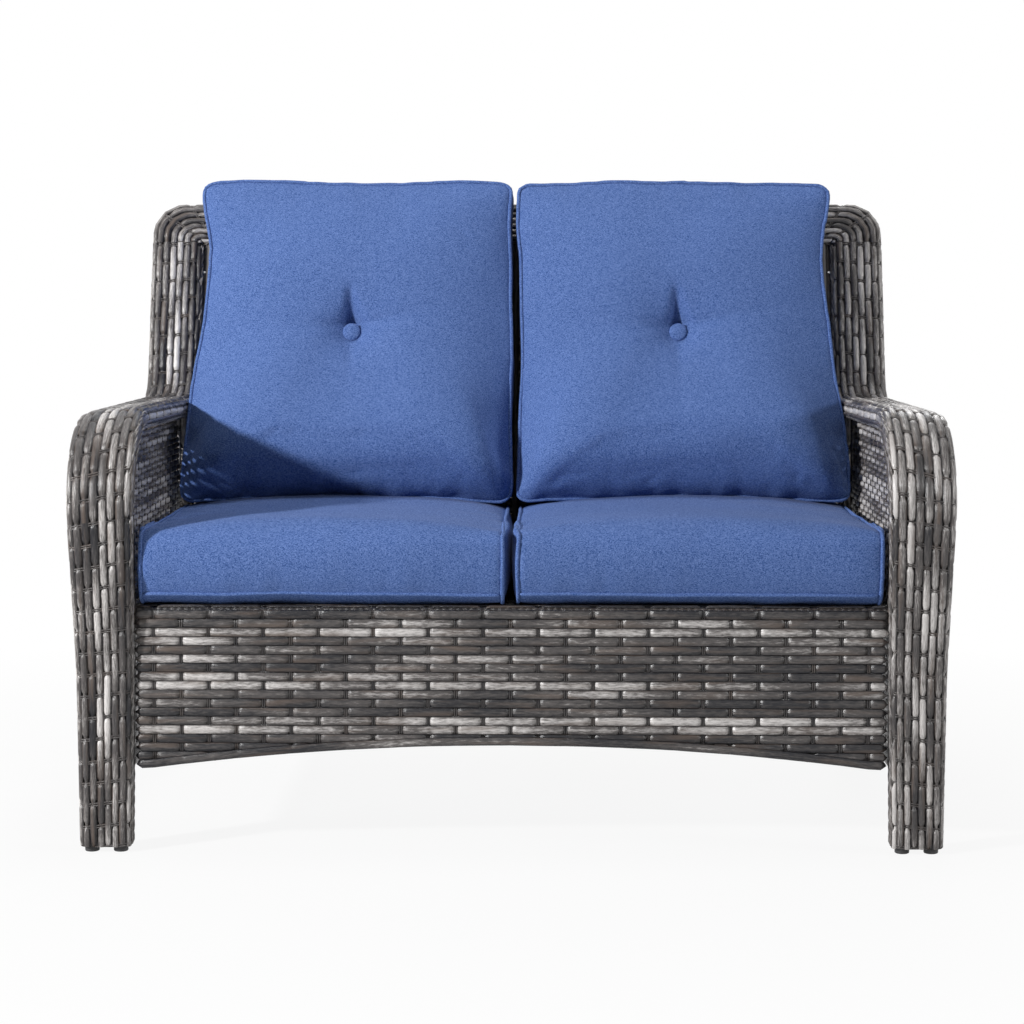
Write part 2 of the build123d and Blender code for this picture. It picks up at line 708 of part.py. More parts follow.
def back_cushion_form(inset):
    """Boxed back cushion with a crowned face and drawn-in sides."""
    left = CUSHION_HALF_SPLIT + inset
    width = BACK_CUSHION_OUTER_X - inset - left
    sections = []
    for share in CUSHION_STATION_SHARES:
        rise = swell(share)
        end_inset = BACK_CUSHION_BULGE * (1 - min(1, rise / swell(CUSHION_STATION_SHARES[2])))
        face = back_cushion_section(inset, end_inset, rise)
        sections.append(Plane.YZ.offset(left + share * width) * face)
    form = loft(sections, ruled=True)
    return form - tuft_hollow(inset) - rear_recess(inset)


cushion_middle_x = (CUSHION_HALF_SPLIT + BACK_CUSHION_OUTER_X) / 2
tuft_floor = (
    back_face + (BACK_CUSHION_BASE_DEPTH + BACK_CUSHION_TOP_THICKNESS) / 2 + BACK_CUSHION_CROWN
    - TUFT_DEPTH
)
tuft_plane = Plane(
    origin=on_back(cushion_middle_x, TUFT_HEIGHT), x_dir=(1, 0, 0), z_dir=back_plane.z_dir
)


def turned(*edges):
    """Solid of revolution on the tuft's axis, from edges given by radius and forward distance."""
    upright = Plane(origin=tuft_plane.origin, x_dir=(1, 0, 0), z_dir=-tuft_plane.y_dir)
    profile = upright * make_face([edge for part in edges for edge in part.edges()])
    return revolve(profile, axis=Axis(upright.origin, upright.y_dir))


def tuft_hollow(inset):
    """Funnel that the pulled-in button makes in the face of the cushion."""
    floor = tuft_floor - inset
    rim = tuft_floor + TUFT_DEPTH - inset
    floor_radius = TUFT_FLOOR_DIA / 2
    middle_radius = floor_radius + (TUFT_RADIUS - floor_radius) * TUFT_MID_RADIUS_SHARE
    return turned(
        Line((0, floor), (floor_radius, floor)),
        ThreePointArc((floor_radius, floor), (middle_radius, rim - TUFT_SHOULDER), (TUFT_RADIUS, rim)),
        Polyline((TUFT_RADIUS, rim), (TUFT_RADIUS, rim + TUFT_DEPTH), (0, rim + TUFT_DEPTH), (0, floor)),
    )


def front_button():
    """Covered button with a domed face."""
    base = tuft_floor + CUSHION_GAP
    shoulder = base + BUTTON_RIM
    radius = BUTTON_DIA / 2
    rise = BUTTON_HEIGHT - BUTTON_RIM
    dome_radius = (radius**2 + rise**2) / (2 * rise)
    half_turn = math.asin(radius / dome_radius) / 2
    middle = (
        dome_radius * math.sin(half_turn),
        shoulder + rise - dome_radius * (1 - math.cos(half_turn)),
    )
    return turned(
        ThreePointArc((radius, shoulder), middle, (0, base + BUTTON_HEIGHT)),
        Polyline((0, base + BUTTON_HEIGHT), (0, base), (radius, base), (radius, shoulder)),
    )


def disc(diameter, near, far):
    """Round slice on the tuft's axis, between two distances from the back's middle plane."""
    ends = [on_back(cushion_middle_x, TUFT_HEIGHT, distance) for distance in (near, far)]
    return rod(Line(*ends), diameter)


def rear_recess(inset):
    """Shallow hollow that holds the button at the back of the cushion."""
    diameter = REAR_BUTTON_DIA + 2 * (COVER_WALL + CUSHION_GAP + inset)
    return disc(diameter, back_face - CUT_OVERRUN, back_face + REAR_BUTTON_RECESS + inset)


rear_button_far = back_face + REAR_BUTTON_RECESS - CUSHION_GAP
rear_button_near = rear_button_far - REAR_BUTTON_THICKNESS
cord_bore = disc(CORD_DIA + 2 * CUSHION_GAP, rear_button_near, tuft_floor + CUSHION_GAP)

seat_cushion = seat_cushion_form(0)
seat_foam = seat_cushion_form(COVER_WALL)
back_cushion = back_cushion_form(0)
back_foam = back_cushion_form(COVER_WALL)

side_seat_rail = side_rail(SIDE_SEAT_RAIL_Z, SIDE_RAIL_DIA) - side_rail(
    SIDE_SEAT_RAIL_Z, SIDE_RAIL_DIA - 2 * SIDE_RAIL_WALL
)
side_lower_rail = side_rail(SIDE_LOWER_RAIL_Z, SIDE_RAIL_DIA) - side_rail(
    SIDE_LOWER_RAIL_Z, SIDE_RAIL_DIA - 2 * SIDE_RAIL_WALL
)
rail_holes = [
    side_rail(height, SIDE_RAIL_DIA + 2 * CASING_SLACK)
    for height in (SIDE_SEAT_RAIL_Z, SIDE_LOWER_RAIL_Z)
]
arm_outer = band_loft(arm_planes, 0)
wing_outer = band_loft(wing_planes, 0)
rear_leg_holes = [rod(route, bore_dia) for route in (inner_rear_route, outer_rear_route)]

side = {
    "inner_tube": floor_cut(bent_tube(inner_tube_route, TUBE_DIA, TUBE_WALL), FOOT_GLIDE_HEIGHT),
    "outer_tube": floor_cut(bent_tube(outer_route, TUBE_DIA, TUBE_WALL), FOOT_GLIDE_HEIGHT),
    "rear_leg_tubes": group([
        floor_cut(bent_tube(inner_rear_route, TUBE_DIA, TUBE_WALL), FOOT_GLIDE_HEIGHT) - inner_rod,
        floor_cut(bent_tube(outer_rear_route, TUBE_DIA, TUBE_WALL), FOOT_GLIDE_HEIGHT) - outer_rod,
    ]),
    "tube_spreaders": spreaders(),
    "side_seat_rail": side_seat_rail - inner_rod - inner_rear_rod,
    "side_lower_rail": side_lower_rail - inner_rod - inner_rear_rod,
    "side_panel_weave": side_panel(),
    "front_leg_weave": floor_cut(sleeve(leg_planes), FOOT_GLIDE_HEIGHT),
    "arm_weave": sleeve(arm_planes),
    "wing_weave": sleeve(wing_planes),
    "rear_leg_weave": floor_cut(sleeve(rear_planes), FOOT_GLIDE_HEIGHT) - arm_outer - wing_outer,
    "front_glides": glides((inner_route, outer_route), True),
    "rear_glides": glides((inner_rear_route, outer_rear_route), False),
}
side["side_panel_weave"] -= arm_outer
for hole in rail_holes:
    side["front_leg_weave"] -= hole
    side["rear_leg_weave"] -= hole
for hole in rear_leg_holes:
    side["arm_weave"] -= hole
    side["wing_weave"] -= hole
for hole, thread in zip(seat_bores, seat_threads):
    side["side_panel_weave"] -= hole
    side["side_seat_rail"] -= thread
for hole, thread in zip(back_bores, back_threads):
    side["wing_weave"] -= hole
    side["inner_tube"] -= thread

stile_tube = stile(BACK_STILE_DIA) - stile(BACK_STILE_DIA - 2 * BACK_STILE_WALL)
for hole in back_bores:
    stile_tube -= hole
bottom_rail = bent_tube(bottom_rail_route, BACK_STILE_DIA, BACK_STILE_WALL)
supports = [support(x, BACK_SUPPORT_DIA) for x in support_places]
seat_side_rail = seat_long_bar(seat_half_width - SEAT_TUBE / 2)
for hole in seat_bores:
    seat_side_rail -= hole

shared = {
    "top_rail_upper_tube": bent_tube(upper_rail_path, TUBE_DIA, TUBE_WALL),
    "top_rail_lower_tube": bent_tube(lower_rail_path, TUBE_DIA, TUBE_WALL),
    "top_rail_weave": top_rail_weave(),
    "back_stiles": group(both_sides([stile_tube])),
    "back_bottom_rail": bottom_rail,
    "back_supports": group(supports),
    "back_panel_weave": back_panel(),
    "seat_front_rail": seat_cross_rail(front_rail_front),
    "seat_rear_rail": seat_cross_rail(rear_rail_rear - SEAT_TUBE),
    "seat_side_rails": group(both_sides([seat_side_rail])),
    "seat_cross_bars": group([seat_long_bar(index * CROSS_BAR_SPACING) for index in range(-1, 2)]),
    "seat_deck_weave": seat_deck(),
    "apron_weave": apron(),
    "apron_arched_rail": bent_tube(apron_rail_route, APRON_RAIL_DIA, APRON_RAIL_WALL),
    "apron_struts": apron_struts(),
    "seat_bolts": group(both_sides([screw(seat) for seat in seat_bolt_seats])),
    "seat_bolt_washers": group(both_sides([washer(seat) for seat in seat_bolt_seats])),
    "back_bolts": group(both_sides([screw(seat) for seat in back_bolt_seats])),
    "back_bolt_washers": group(both_sides([washer(seat) for seat in back_bolt_seats])),
}

cushions = {
    "seat_cushion_cover": seat_cushion - seat_foam,
    "seat_cushion_foam": seat_foam,
    "back_cushion_cover": back_cushion - back_foam - cord_bore,
    "back_cushion_foam": back_foam - cord_bore,
    "tuft_button": front_button(),
    "tuft_rear_button": disc(REAR_BUTTON_DIA, rear_button_near, rear_button_far),
    "tuft_cord": disc(CORD_DIA, rear_button_far, tuft_floor + CUSHION_GAP),
}

os.makedirs("parts", exist_ok=True)
for name, shape in {**side, **cushions}.items():
    export_step(shape, f"parts/right_{name}.step")
    export_step(mirrored(shape), f"parts/left_{name}.step")
for name, shape in shared.items():
    export_step(shape, f"parts/{name}.step")
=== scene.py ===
"""Wicker loveseat for a patio: woven resin strands and canvas cushions, fitted over its frame."""

import json
import math
import random
from bisect import bisect_right

import bmesh
import bpy
from mathutils import Matrix, Vector, noise
from mathutils.bvhtree import BVHTree
from mathutils.kdtree import KDTree


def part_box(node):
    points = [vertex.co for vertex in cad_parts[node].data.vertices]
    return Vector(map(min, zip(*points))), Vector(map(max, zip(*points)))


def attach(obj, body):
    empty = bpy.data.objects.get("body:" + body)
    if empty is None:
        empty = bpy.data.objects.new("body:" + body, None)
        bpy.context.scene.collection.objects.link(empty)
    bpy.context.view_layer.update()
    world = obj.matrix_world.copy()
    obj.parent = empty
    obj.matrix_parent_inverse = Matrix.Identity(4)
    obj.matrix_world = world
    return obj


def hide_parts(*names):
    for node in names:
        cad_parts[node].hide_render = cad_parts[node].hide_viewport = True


bl_info = {
    "name": "Wicker Loveseat",
    "version": (1, 0, 0),
    "blender": (4, 5, 0),
    "location": "3D View > Sidebar > Loveseat",
    "description": "Dresses the loveseat's frame in woven strand and canvas cushions",
    "category": "Object",
}

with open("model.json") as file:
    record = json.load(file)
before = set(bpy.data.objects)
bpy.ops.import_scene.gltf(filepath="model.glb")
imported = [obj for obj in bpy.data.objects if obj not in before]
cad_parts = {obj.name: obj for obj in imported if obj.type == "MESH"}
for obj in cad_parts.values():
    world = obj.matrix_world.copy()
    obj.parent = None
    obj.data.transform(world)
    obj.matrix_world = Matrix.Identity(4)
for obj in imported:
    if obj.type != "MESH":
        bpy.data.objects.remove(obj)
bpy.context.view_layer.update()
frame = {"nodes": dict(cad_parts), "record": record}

BACK_FOOT = Vector((0, 0.145, 0.338))
BACK_LEAN = math.radians(17)
BACK_UP = Vector((0, math.sin(BACK_LEAN), math.cos(BACK_LEAN)))
BACK_FORWARD = Vector((0, -math.cos(BACK_LEAN), math.sin(BACK_LEAN)))
SIDES = ((1, "right"), (-1, "left"))
SAME_PLACE = 0.00002  # points this close are one
WOUND_PITCH = 0.0095  # of the strand wound round a rod
BAND_TONES = (0.62, 0.50, 0.74, 0.44, 0.58, 0.22, 0.66, 0.52, 0.36, 0.70, 0.28, 0.56, 0.48)
APRON_TONES = (
    0.30, 0.56, 0.78, 0.54, 0.42, 0.46, 0.22, 0.52, 0.74, 0.50, 0.42, 0.34, 0.66, 0.74, 0.20,
    0.16, 0.28,
)
VOXEL = 0.0065
SEAM_STEP = 0.003
SWELL_FRAMES = 20
PIPING_REACH = 0.0010  # how far the piping's middle stands off the cushion's skin


def on_back(x, height, forward=0.0):
    """Point on the leaning back: x across, height up the slope, forward of its middle plane."""
    return BACK_FOOT + Vector((x, 0, 0)) + BACK_UP * height + BACK_FORWARD * forward


def length(name, value, words):
    """A size in metres that can be changed in the panel."""
    return bpy.props.FloatProperty(name=name, description=words, default=value, unit="LENGTH")


def colour(name, value, words):
    """A colour that can be changed in the panel."""
    return bpy.props.FloatVectorProperty(
        name=name, description=words, default=value, size=3, subtype="COLOR", min=0.0, max=1.0
    )


class FrameSizes(bpy.types.PropertyGroup):
    """Places of the bent tubes that the woven bands follow."""

    half_band: length("Half band", 0.015, "Half of the thickness of a woven band")
    band_corner: length("Band corner", 0.012, "Rounding of the edges of a woven band")
    inner_foot: length("Inner foot", 0.536, "Inner tube across at the floor")
    inner_knee: length("Inner knee", 0.531, "Inner tube across at the knee of the front leg")
    inner_arm: length("Inner arm", 0.525, "Inner tube across on the arm")
    inner_wing: length("Inner wing", 0.517, "Inner tube across on the wing of the back")
    outer_foot: length("Outer foot", 0.575, "Outer tube across at the floor")
    outer_knee: length("Outer knee", 0.577, "Outer tube across at the knee of the front leg")
    outer_arm: length("Outer arm", 0.587, "Outer tube across on the arm")
    outer_wing: length("Outer wing", 0.566, "Outer tube across on the wing of the back")
    front_leg: length("Front leg", -0.334, "Front leg along the depth")
    front_knee: length("Front knee", 0.250, "Height of the front leg's knee")
    arm_front: length("Arm front", -0.364, "Corner where the leg rolls into the arm")
    arm_height: length("Arm height", 0.590, "Height of the arm tubes' corner")
    outer_drop: length("Outer drop", 0.008, "How much lower the outer arm tube runs")
    wing_height: length("Wing height", 0.588, "Height of the corner where the arm meets the back")
    wing_top: length("Wing top", 0.526, "Top of the wings, up the slope")
    back_top: length("Back top", 0.591, "Top of the back, up the slope")
    shoulder: length("Shoulder", 0.050, "Rounding of the shoulders of the back")
    knee_radius: length("Knee radius", 0.400, "Bend of the front leg's knee")
    roll_radius: length("Roll radius", 0.118, "Bend where the leg rolls into the arm")
    wing_radius: length("Wing radius", 0.070, "Bend where the arm turns up the wing")
    rear_top: length("Rear leg top", 0.165, "Rear leg along the depth, at the arm")
    rear_knee: length("Rear knee", 0.222, "Rear leg along the depth, at its knee")
    rear_knee_height: length("Rear knee height", 0.300, "Height of the rear leg's knee")
    rear_foot: length("Rear foot", 0.3516, "Rear leg along the depth, at the floor")
    rear_radius: length("Rear radius", 0.450, "Bend of the rear leg")
    glide_height: length("Glide height", 0.008, "Height of the foot glides")
    side_plane: length("Side panel", 0.526, "Side panel across")
    side_bottom: length("Side bottom", 0.122, "Height of the side panel's lower rail")


class WickerSizes(bpy.types.PropertyGroup):
    """Sizes and colours of the woven strand."""

    strand: length("Strand", 0.0030, "Thickness of a strand")
    dip_reach: length("Dip reach", 0.0047, "Half of the length of a strand's dip")
    depth: length("Dip", 0.0032, "How far a strand dips under a stake")
    proud: length("Proud", 0.0018, "How far the strands stand over the band's skin")
    stake: length("Stake", 0.0024, "Thickness of a stake wire")
    row: length("Row", 0.0122, "Pitch of the rows in a panel")
    apron_stakes: length("Apron stakes", 0.0375, "Spacing of the stakes in the apron")
    side_row: length("Side row", 0.0086, "Pitch of the rows in a side panel")
    side_stakes: length("Side stakes", 0.0240, "Spacing of the stakes in a side panel")
    arm_stakes: length("Arm stakes", 0.0300, "Spacing of the crossing wires on a band")
    edging: length("Edging", 0.0030, "Thickness of the twisted edging strand")
    around: bpy.props.IntProperty(
        name="Strands", description="Strands side by side round a band", default=18, min=8, max=30
    )
    dark: colour("Charcoal", (0.007, 0.007, 0.010), "Darkest strand")
    middle: colour("Taupe", (0.092, 0.083, 0.080), "Middle strand")
    light: colour("Warm grey", (0.590, 0.565, 0.550), "Lightest strand")
    brown: colour("Brown", (0.125, 0.090, 0.070), "Brown tint along some strands")


class CushionSizes(bpy.types.PropertyGroup):
    """Sizes and colours of the cushions."""

    half_split: length("Half split", 0.001, "Half of the gap between the two halves")
    seat_outer: length("Seat outer", 0.5120, "Outer side of a seat cushion")
    seat_front: length("Seat front", -0.346, "Front of a seat cushion")
    seat_rear: length("Seat rear", 0.136, "Rear of a seat cushion")
    seat_edge: length("Seat edge", 0.104, "Height of a seat cushion at its edge")
    seat_crown: length("Seat crown", 0.0160, "Crown of a seat cushion")
    back_outer: length("Back outer", 0.5105, "Outer side of a back cushion at its base")
    back_draw: length("Back draw", 0.034, "How far a back cushion draws in above its base")
    back_flare: length("Back flare", 0.014, "How far its upper corner comes out again")
    back_top: length("Back cushion top", 0.592, "Top of a back cushion, up the slope")
    top_depth: length("Top depth", 0.095, "Thickness of a back cushion at its top")
    base_depth: length("Base depth", 0.100, "Depth of a back cushion at its base")
    back_crown: length("Back crown", 0.060, "Crown of a back cushion")
    button: length("Button", 0.028, "Width of the covered button")
    piping: length("Piping", 0.0058, "Thickness of the piping")
    seam_rise: length("Seam rise", 0.017, "Height of the lower seam over the deck")
    side_bulge: length("Side bulge", 0.008, "How far a side panel bulges between its seams")
    canvas: colour("Canvas", (0.022, 0.062, 0.208), "Denim blue of the canvas")
    canvas_light: colour("Heather", (0.142, 0.222, 0.480), "Paler threads of the canvas")


class StageSizes(bpy.types.PropertyGroup):
    """Camera and floor."""

    camera_place: bpy.props.FloatVectorProperty(
        name="Camera", description="Where the camera stands", default=(0.048, -3.639, 0.757),
        size=3, unit="LENGTH",
    )
    camera_pitch: bpy.props.FloatProperty(
        name="Pitch", description="How far the camera looks down", default=math.radians(5.0),
        unit="ROTATION",
    )
    camera_yaw: bpy.props.FloatProperty(
        name="Yaw", description="How far the camera turns to its left",
        default=math.radians(0.80), unit="ROTATION",
    )
    lens: bpy.props.FloatProperty(
        name="Lens", description="Focal length in millimetres on a 36 mm frame", default=86.05
    )
    floor: colour("Floor", (0.66, 0.66, 0.66), "Pale floor")


# Routes
def along_line(points):
    """Distance along a line at each of its points."""
    travelled = [0.0]
    for start, end in zip(points, points[1:]):
        travelled.append(travelled[-1] + (end - start).length)
    return travelled


def stretch_at(travelled, distance):
    """Number of the stretch of a line that holds a distance, and the share of it passed."""
    low = min(max(bisect_right(travelled, distance) - 1, 0), len(travelled) - 2)
    return low, (distance - travelled[low]) / max(travelled[low + 1] - travelled[low], 1e-9)


def bend(before, corner, after, radius, steps):
    """Points of the arc that rounds one corner of a route."""
    incoming = (corner - before).normalized()
    outgoing = (after - corner).normalized()
    turn = incoming.angle(outgoing)
    axis = incoming.cross(outgoing).normalized()
    start = corner - incoming * radius * math.tan(turn / 2)
    centre = start + axis.cross(incoming) * radius
    spoke = start - centre
    return [
        centre + Matrix.Rotation(turn * step / steps, 3, axis) @ spoke for step in range(steps + 1)
    ]


def route(corners, radii, steps):
    """Points of a route: its runs and the arcs between them, with even counts of steps."""
    anchors = [[corners[0]]]
    for index, radius in enumerate(radii):
        anchors.append(bend(*corners[index:index + 3], radius, steps))
    anchors.append([corners[-1]])
    points = []
    for arc, following in zip(anchors, anchors[1:]):
        points += arc
        points += [arc[-1].lerp(following[0], step / steps) for step in range(1, steps)]
    return points + anchors[-1]


def straight(start, end, steps):
    """Evenly spaced points from one point to another."""
    return [start.lerp(end, step / steps) for step in range(steps + 1)]


class Band:
    """A woven band: edge lines on both sides of it, and the way that its face looks."""

    def __init__(self, inner, outer, margin, thickness, corner, normals=None):
        self.corner = corner
        self.thickness = thickness
        self.middles = [(a + b) / 2 for a, b in zip(inner, outer)]
        self.travelled = along_line(self.middles)
        self.length = self.travelled[-1]
        self.stations = []
        last = len(inner) - 1
        for index, middle in enumerate(self.middles):
            ahead = min(index + 1, last)
            behind = max(index - 1, 0)
            across = (outer[index] - inner[index]).normalized()
            along = (inner[ahead] + outer[ahead] - inner[behind] - outer[behind]).normalized()
            normal = normals[index] if normals else across.cross(along).normalized()
            width = (outer[index] - inner[index]).length + 2 * margin
            self.stations.append((middle, across, normal, width))

    def station(self, distance):
        """Middle, directions and width of the band at a distance along it."""
        low, share = stretch_at(self.travelled, distance)
        first = self.stations[low]
        second = self.stations[low + 1]
        return (
            first[0].lerp(second[0], share),
            first[1].lerp(second[1], share).normalized(),
            first[2].lerp(second[2], share).normalized(),
            first[3] + (second[3] - first[3]) * share,
        )

    def place(self, distance, share, height):
        """Point on the band: along it, round it by a share of its girth, and above its skin."""
        middle, across, normal, width = self.station(distance)
        side, out, side_way, out_way = rounded_point(
            width / 2, self.thickness / 2, self.corner, share
        )
        return middle + across * (side + side_way * height) + normal * (out + out_way * height)


def rounded_point(half_width, half_depth, corner, share):
    """Point and outward direction on a rounded rectangle, from the middle of its face."""
    flat = half_width - corner
    wall = half_depth - corner
    quarter = math.pi * corner / 2
    total = 4 * flat + 4 * wall + 4 * quarter
    travel = (share % 1.0) * total
    mirrored = travel > total / 2
    if mirrored:
        travel = total - travel
    if travel <= flat:
        point = (travel, half_depth, 0, 1)
    elif travel <= flat + quarter:
        angle = (travel - flat) / corner
        point = (
            flat + corner * math.sin(angle), wall + corner * math.cos(angle),
            math.sin(angle), math.cos(angle),
        )
    elif travel <= flat + quarter + 2 * wall:
        point = (half_width, wall - (travel - flat - quarter), 1, 0)
    elif travel <= flat + 2 * quarter + 2 * wall:
        angle = (travel - flat - quarter - 2 * wall) / corner
        point = (
            flat + corner * math.cos(angle), -wall - corner * math.sin(angle),
            math.cos(angle), -math.sin(angle),
        )
    else:
        point = (flat - (travel - flat - 2 * quarter - 2 * wall), -half_depth, 0, -1)
    if mirrored:
        return -point[0], point[1], -point[2], point[3]
    return point


# Meshes
def new_mesh():
    """An empty mesh with the layers that the strands' finish reads."""
    mesh = bmesh.new()
    mesh.loops.layers.uv.new("strand")
    mesh.verts.layers.float.new("tone")
    return mesh


def add_object(mesh, name, material):
    """Makes an object of a finished mesh."""
    data = bpy.data.meshes.new(name)
    mesh.to_mesh(data)
    mesh.free()
    data.materials.append(material)
    piece = bpy.data.objects.new(name, data)
    bpy.context.scene.collection.objects.link(piece)
    return piece


def tie_piece(piece, body, replaced):
    """Ties a smooth piece to its body and the nodes that it stands for."""
    piece.data.shade_smooth()
    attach(piece, body)
    if replaced:
        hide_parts(*replaced)


def add_weave(mesh, name, node, side=1):
    """Makes woven strands a piece of the frame. A left-hand one is mirrored first."""
    bmesh.ops.remove_doubles(mesh, verts=mesh.verts, dist=SAME_PLACE)
    if side < 0:
        bmesh.ops.scale(mesh, vec=(-1, 1, 1), verts=mesh.verts)
        bmesh.ops.reverse_faces(mesh, faces=mesh.faces)
    tie_piece(add_object(mesh, name, strand_material()), "frame", (node,))


def add_grid(mesh, columns, rows, place, tone, shares=None):
    """A sheet of faces laid by a function of two shares, with its tone and its grain's map."""
    made = bmesh.ops.create_grid(
        mesh, x_segments=columns, y_segments=rows, size=0.5,
        matrix=Matrix.Translation((0.5, 0.5, 0)), calc_uvs=False,
    )["verts"]
    uv = mesh.loops.layers.uv["strand"]
    shade = mesh.verts.layers.float["tone"]
    for vert in made:
        x, y, _ = vert.co
        if shares:
            x = shares[round(x * columns)]
        for loop in vert.link_loops:
            loop[uv].uv = (x, y)
        vert.co = place(x, y)
        vert[shade] = tone(x, y) if callable(tone) else tone
    return made


def scale_map(mesh, verts, along, across, shift):
    """Sizes the grain's map of some vertices to the strand's real length and width."""
    uv = mesh.loops.layers.uv["strand"]
    for vert in verts:
        for loop in vert.link_loops:
            x, y = loop[uv].uv
            loop[uv].uv = (x * along + shift * 7.3, y * across + shift * 0.37)


def limited(value):
    """A value kept between 0 and 1."""
    return max(0.0, min(1.0, value))


def inside_ends(x):
    """1 along a strand and 0 at its very ends, where it closes to a point."""
    return 0.0 if x < 1e-6 or x > 1 - 1e-6 else 1.0


def rounder(value, power):
    """A sine or cosine whose ring comes out squarer than a circle."""
    return math.copysign(abs(value) ** power, value)


def under(distance, spacing, parity, reach):
    """How far a strand is pushed behind every second wire: 0 in front, 1 behind."""
    gap = abs((distance / spacing + parity) % 2 - 1) * spacing
    return math.exp(-((gap / reach) ** 2.5))


def weave_shares(start, end, spacing, parity, reach):
    """Shares of a strand's length where it gets columns: close together where it dips."""
    stops = {start, end}
    for index in range(math.floor(start / spacing) - 2, math.ceil(end / spacing) + 3):
        if (index + parity) % 2 == 1:
            middle = index * spacing
            stops.update(middle + step * reach for step in (-1.8, -1.15, -0.6, 0, 0.6, 1.15, 1.8))
            stops.update(middle + step * spacing for step in (0.55, 1.0, 1.45))
    kept = sorted(stop for stop in stops if start <= stop <= end)
    return [(stop - start) / (end - start) for stop in kept]


def lay_strand(mesh, band, start, end, share, share_width, parity, tone, seed):
    """One half-round strand along a band, which dips under every second wire."""
    wicker = bpy.context.scene.loveseat_wicker
    spacing = wicker.arm_stakes
    profile = (0.0, 0.70, 1.0, 1.0, 0.70, 0.0)
    sway = random.Random(seed).uniform(0, 50)
    shares = weave_shares(start, end, spacing, parity, wicker.dip_reach)

    def place(x, y):
        distance = start + (end - start) * x
        wave = 1 - under(distance, spacing, parity, wicker.dip_reach)
        index = round(y * 5)
        width = share_width * (0.84 + 0.18 * wave)
        wander = 0.20 * noise.noise((distance * 14, sway, 0))
        spot = share + (y - 0.5) * width + share_width * wander * 0.5
        height = wicker.proud + wicker.depth * (wave - 1) - wicker.strand * (1 - profile[index])
        return band.place(distance, spot, height)

    def shade(x, y):
        drift = noise.noise((x * (end - start) * 8.0, sway, 4.0))
        # Painted shade: the strand's outer edges are darkened, standing in for the shade in the
        # crevices between strands.
        edge = 0.70 if y < 0.1 or y > 0.9 else 0.0
        return limited(tone + 0.05 + drift - edge)

    made = add_grid(mesh, len(shares) - 1, 5, place, shade, shares)
    scale_map(mesh, made, end - start, 0.011, seed)


def lay_wires(mesh, band, start, end):
    """Pairs of thin wires round a band, one pair at each crossing."""
    wicker = bpy.context.scene.loveseat_wicker
    crossings = 1 / wicker.arm_stakes
    for index in range(math.ceil(start * crossings), math.floor(end * crossings) + 1):
        jitter = 0.0022 * noise.noise((index * 1.7, start * 40, 2.0))
        for pair in (-1, 1):
            middle = index / crossings + pair * wicker.stake * 0.62

            def place(x, y):
                angle = math.pi * (y - 0.5)
                slant = 0.0040 * math.sin(math.tau * (x - 0.02)) + jitter
                distance = middle + slant + wicker.stake / 2 * math.sin(angle)
                distance = max(start, min(end, distance))
                lift = wicker.stake * 0.95 * math.cos(angle)
                return band.place(distance, -x, wicker.proud - wicker.depth - 0.0007 + lift)

            made = add_grid(mesh, 48, 4, place, 0.36)
            scale_map(mesh, made, 0.2, 0.003, index)


def lay_shade_sheet(mesh, band, start, end, depth):
    """Dark sheet under the strands in the darkest tone: painted shade that stands in for the shade
    between them, so that nothing shows between them.
    """
    steps = max(2, round((end - start) / 0.02))

    def place(x, y):
        return band.place(start + (end - start) * x, y, -depth)

    # Tone 0 gives the darkest strand colour, as painted shade.
    add_grid(mesh, steps, 36, place, 0.0)


def weave_band(band, start, end, tones, name, node, side):
    """Wraps one stretch of a band in strands, wires and a dark sheet of painted shade under them,
    as one piece.
    """
    wicker = bpy.context.scene.loveseat_wicker
    mesh = new_mesh()
    count = wicker.around
    for index in range(count):
        lay_strand(
            mesh, band, start, end, (index + 0.5) / count, 0.99 / count, index % 2,
            tones[index % len(tones)], index + 1,
        )
    lay_wires(mesh, band, start, end)
    lay_shade_sheet(mesh, band, start, end, wicker.depth + wicker.strand + 0.0004)
    steps = max(4, round((end - start) / 0.008))
    for share, tone, seed in ((0.785, 0.46, 7), (0.715, 0.30, 14), (0.285, 0.30, 21)):
        line = [
            band.place(start + (end - start) * step / steps, share, 0.0002)
            for step in range(steps + 1)
        ]
        twisted_strand(mesh, line, wicker.edging, 0.052, tone, seed)
    add_weave(mesh, name, node, side)


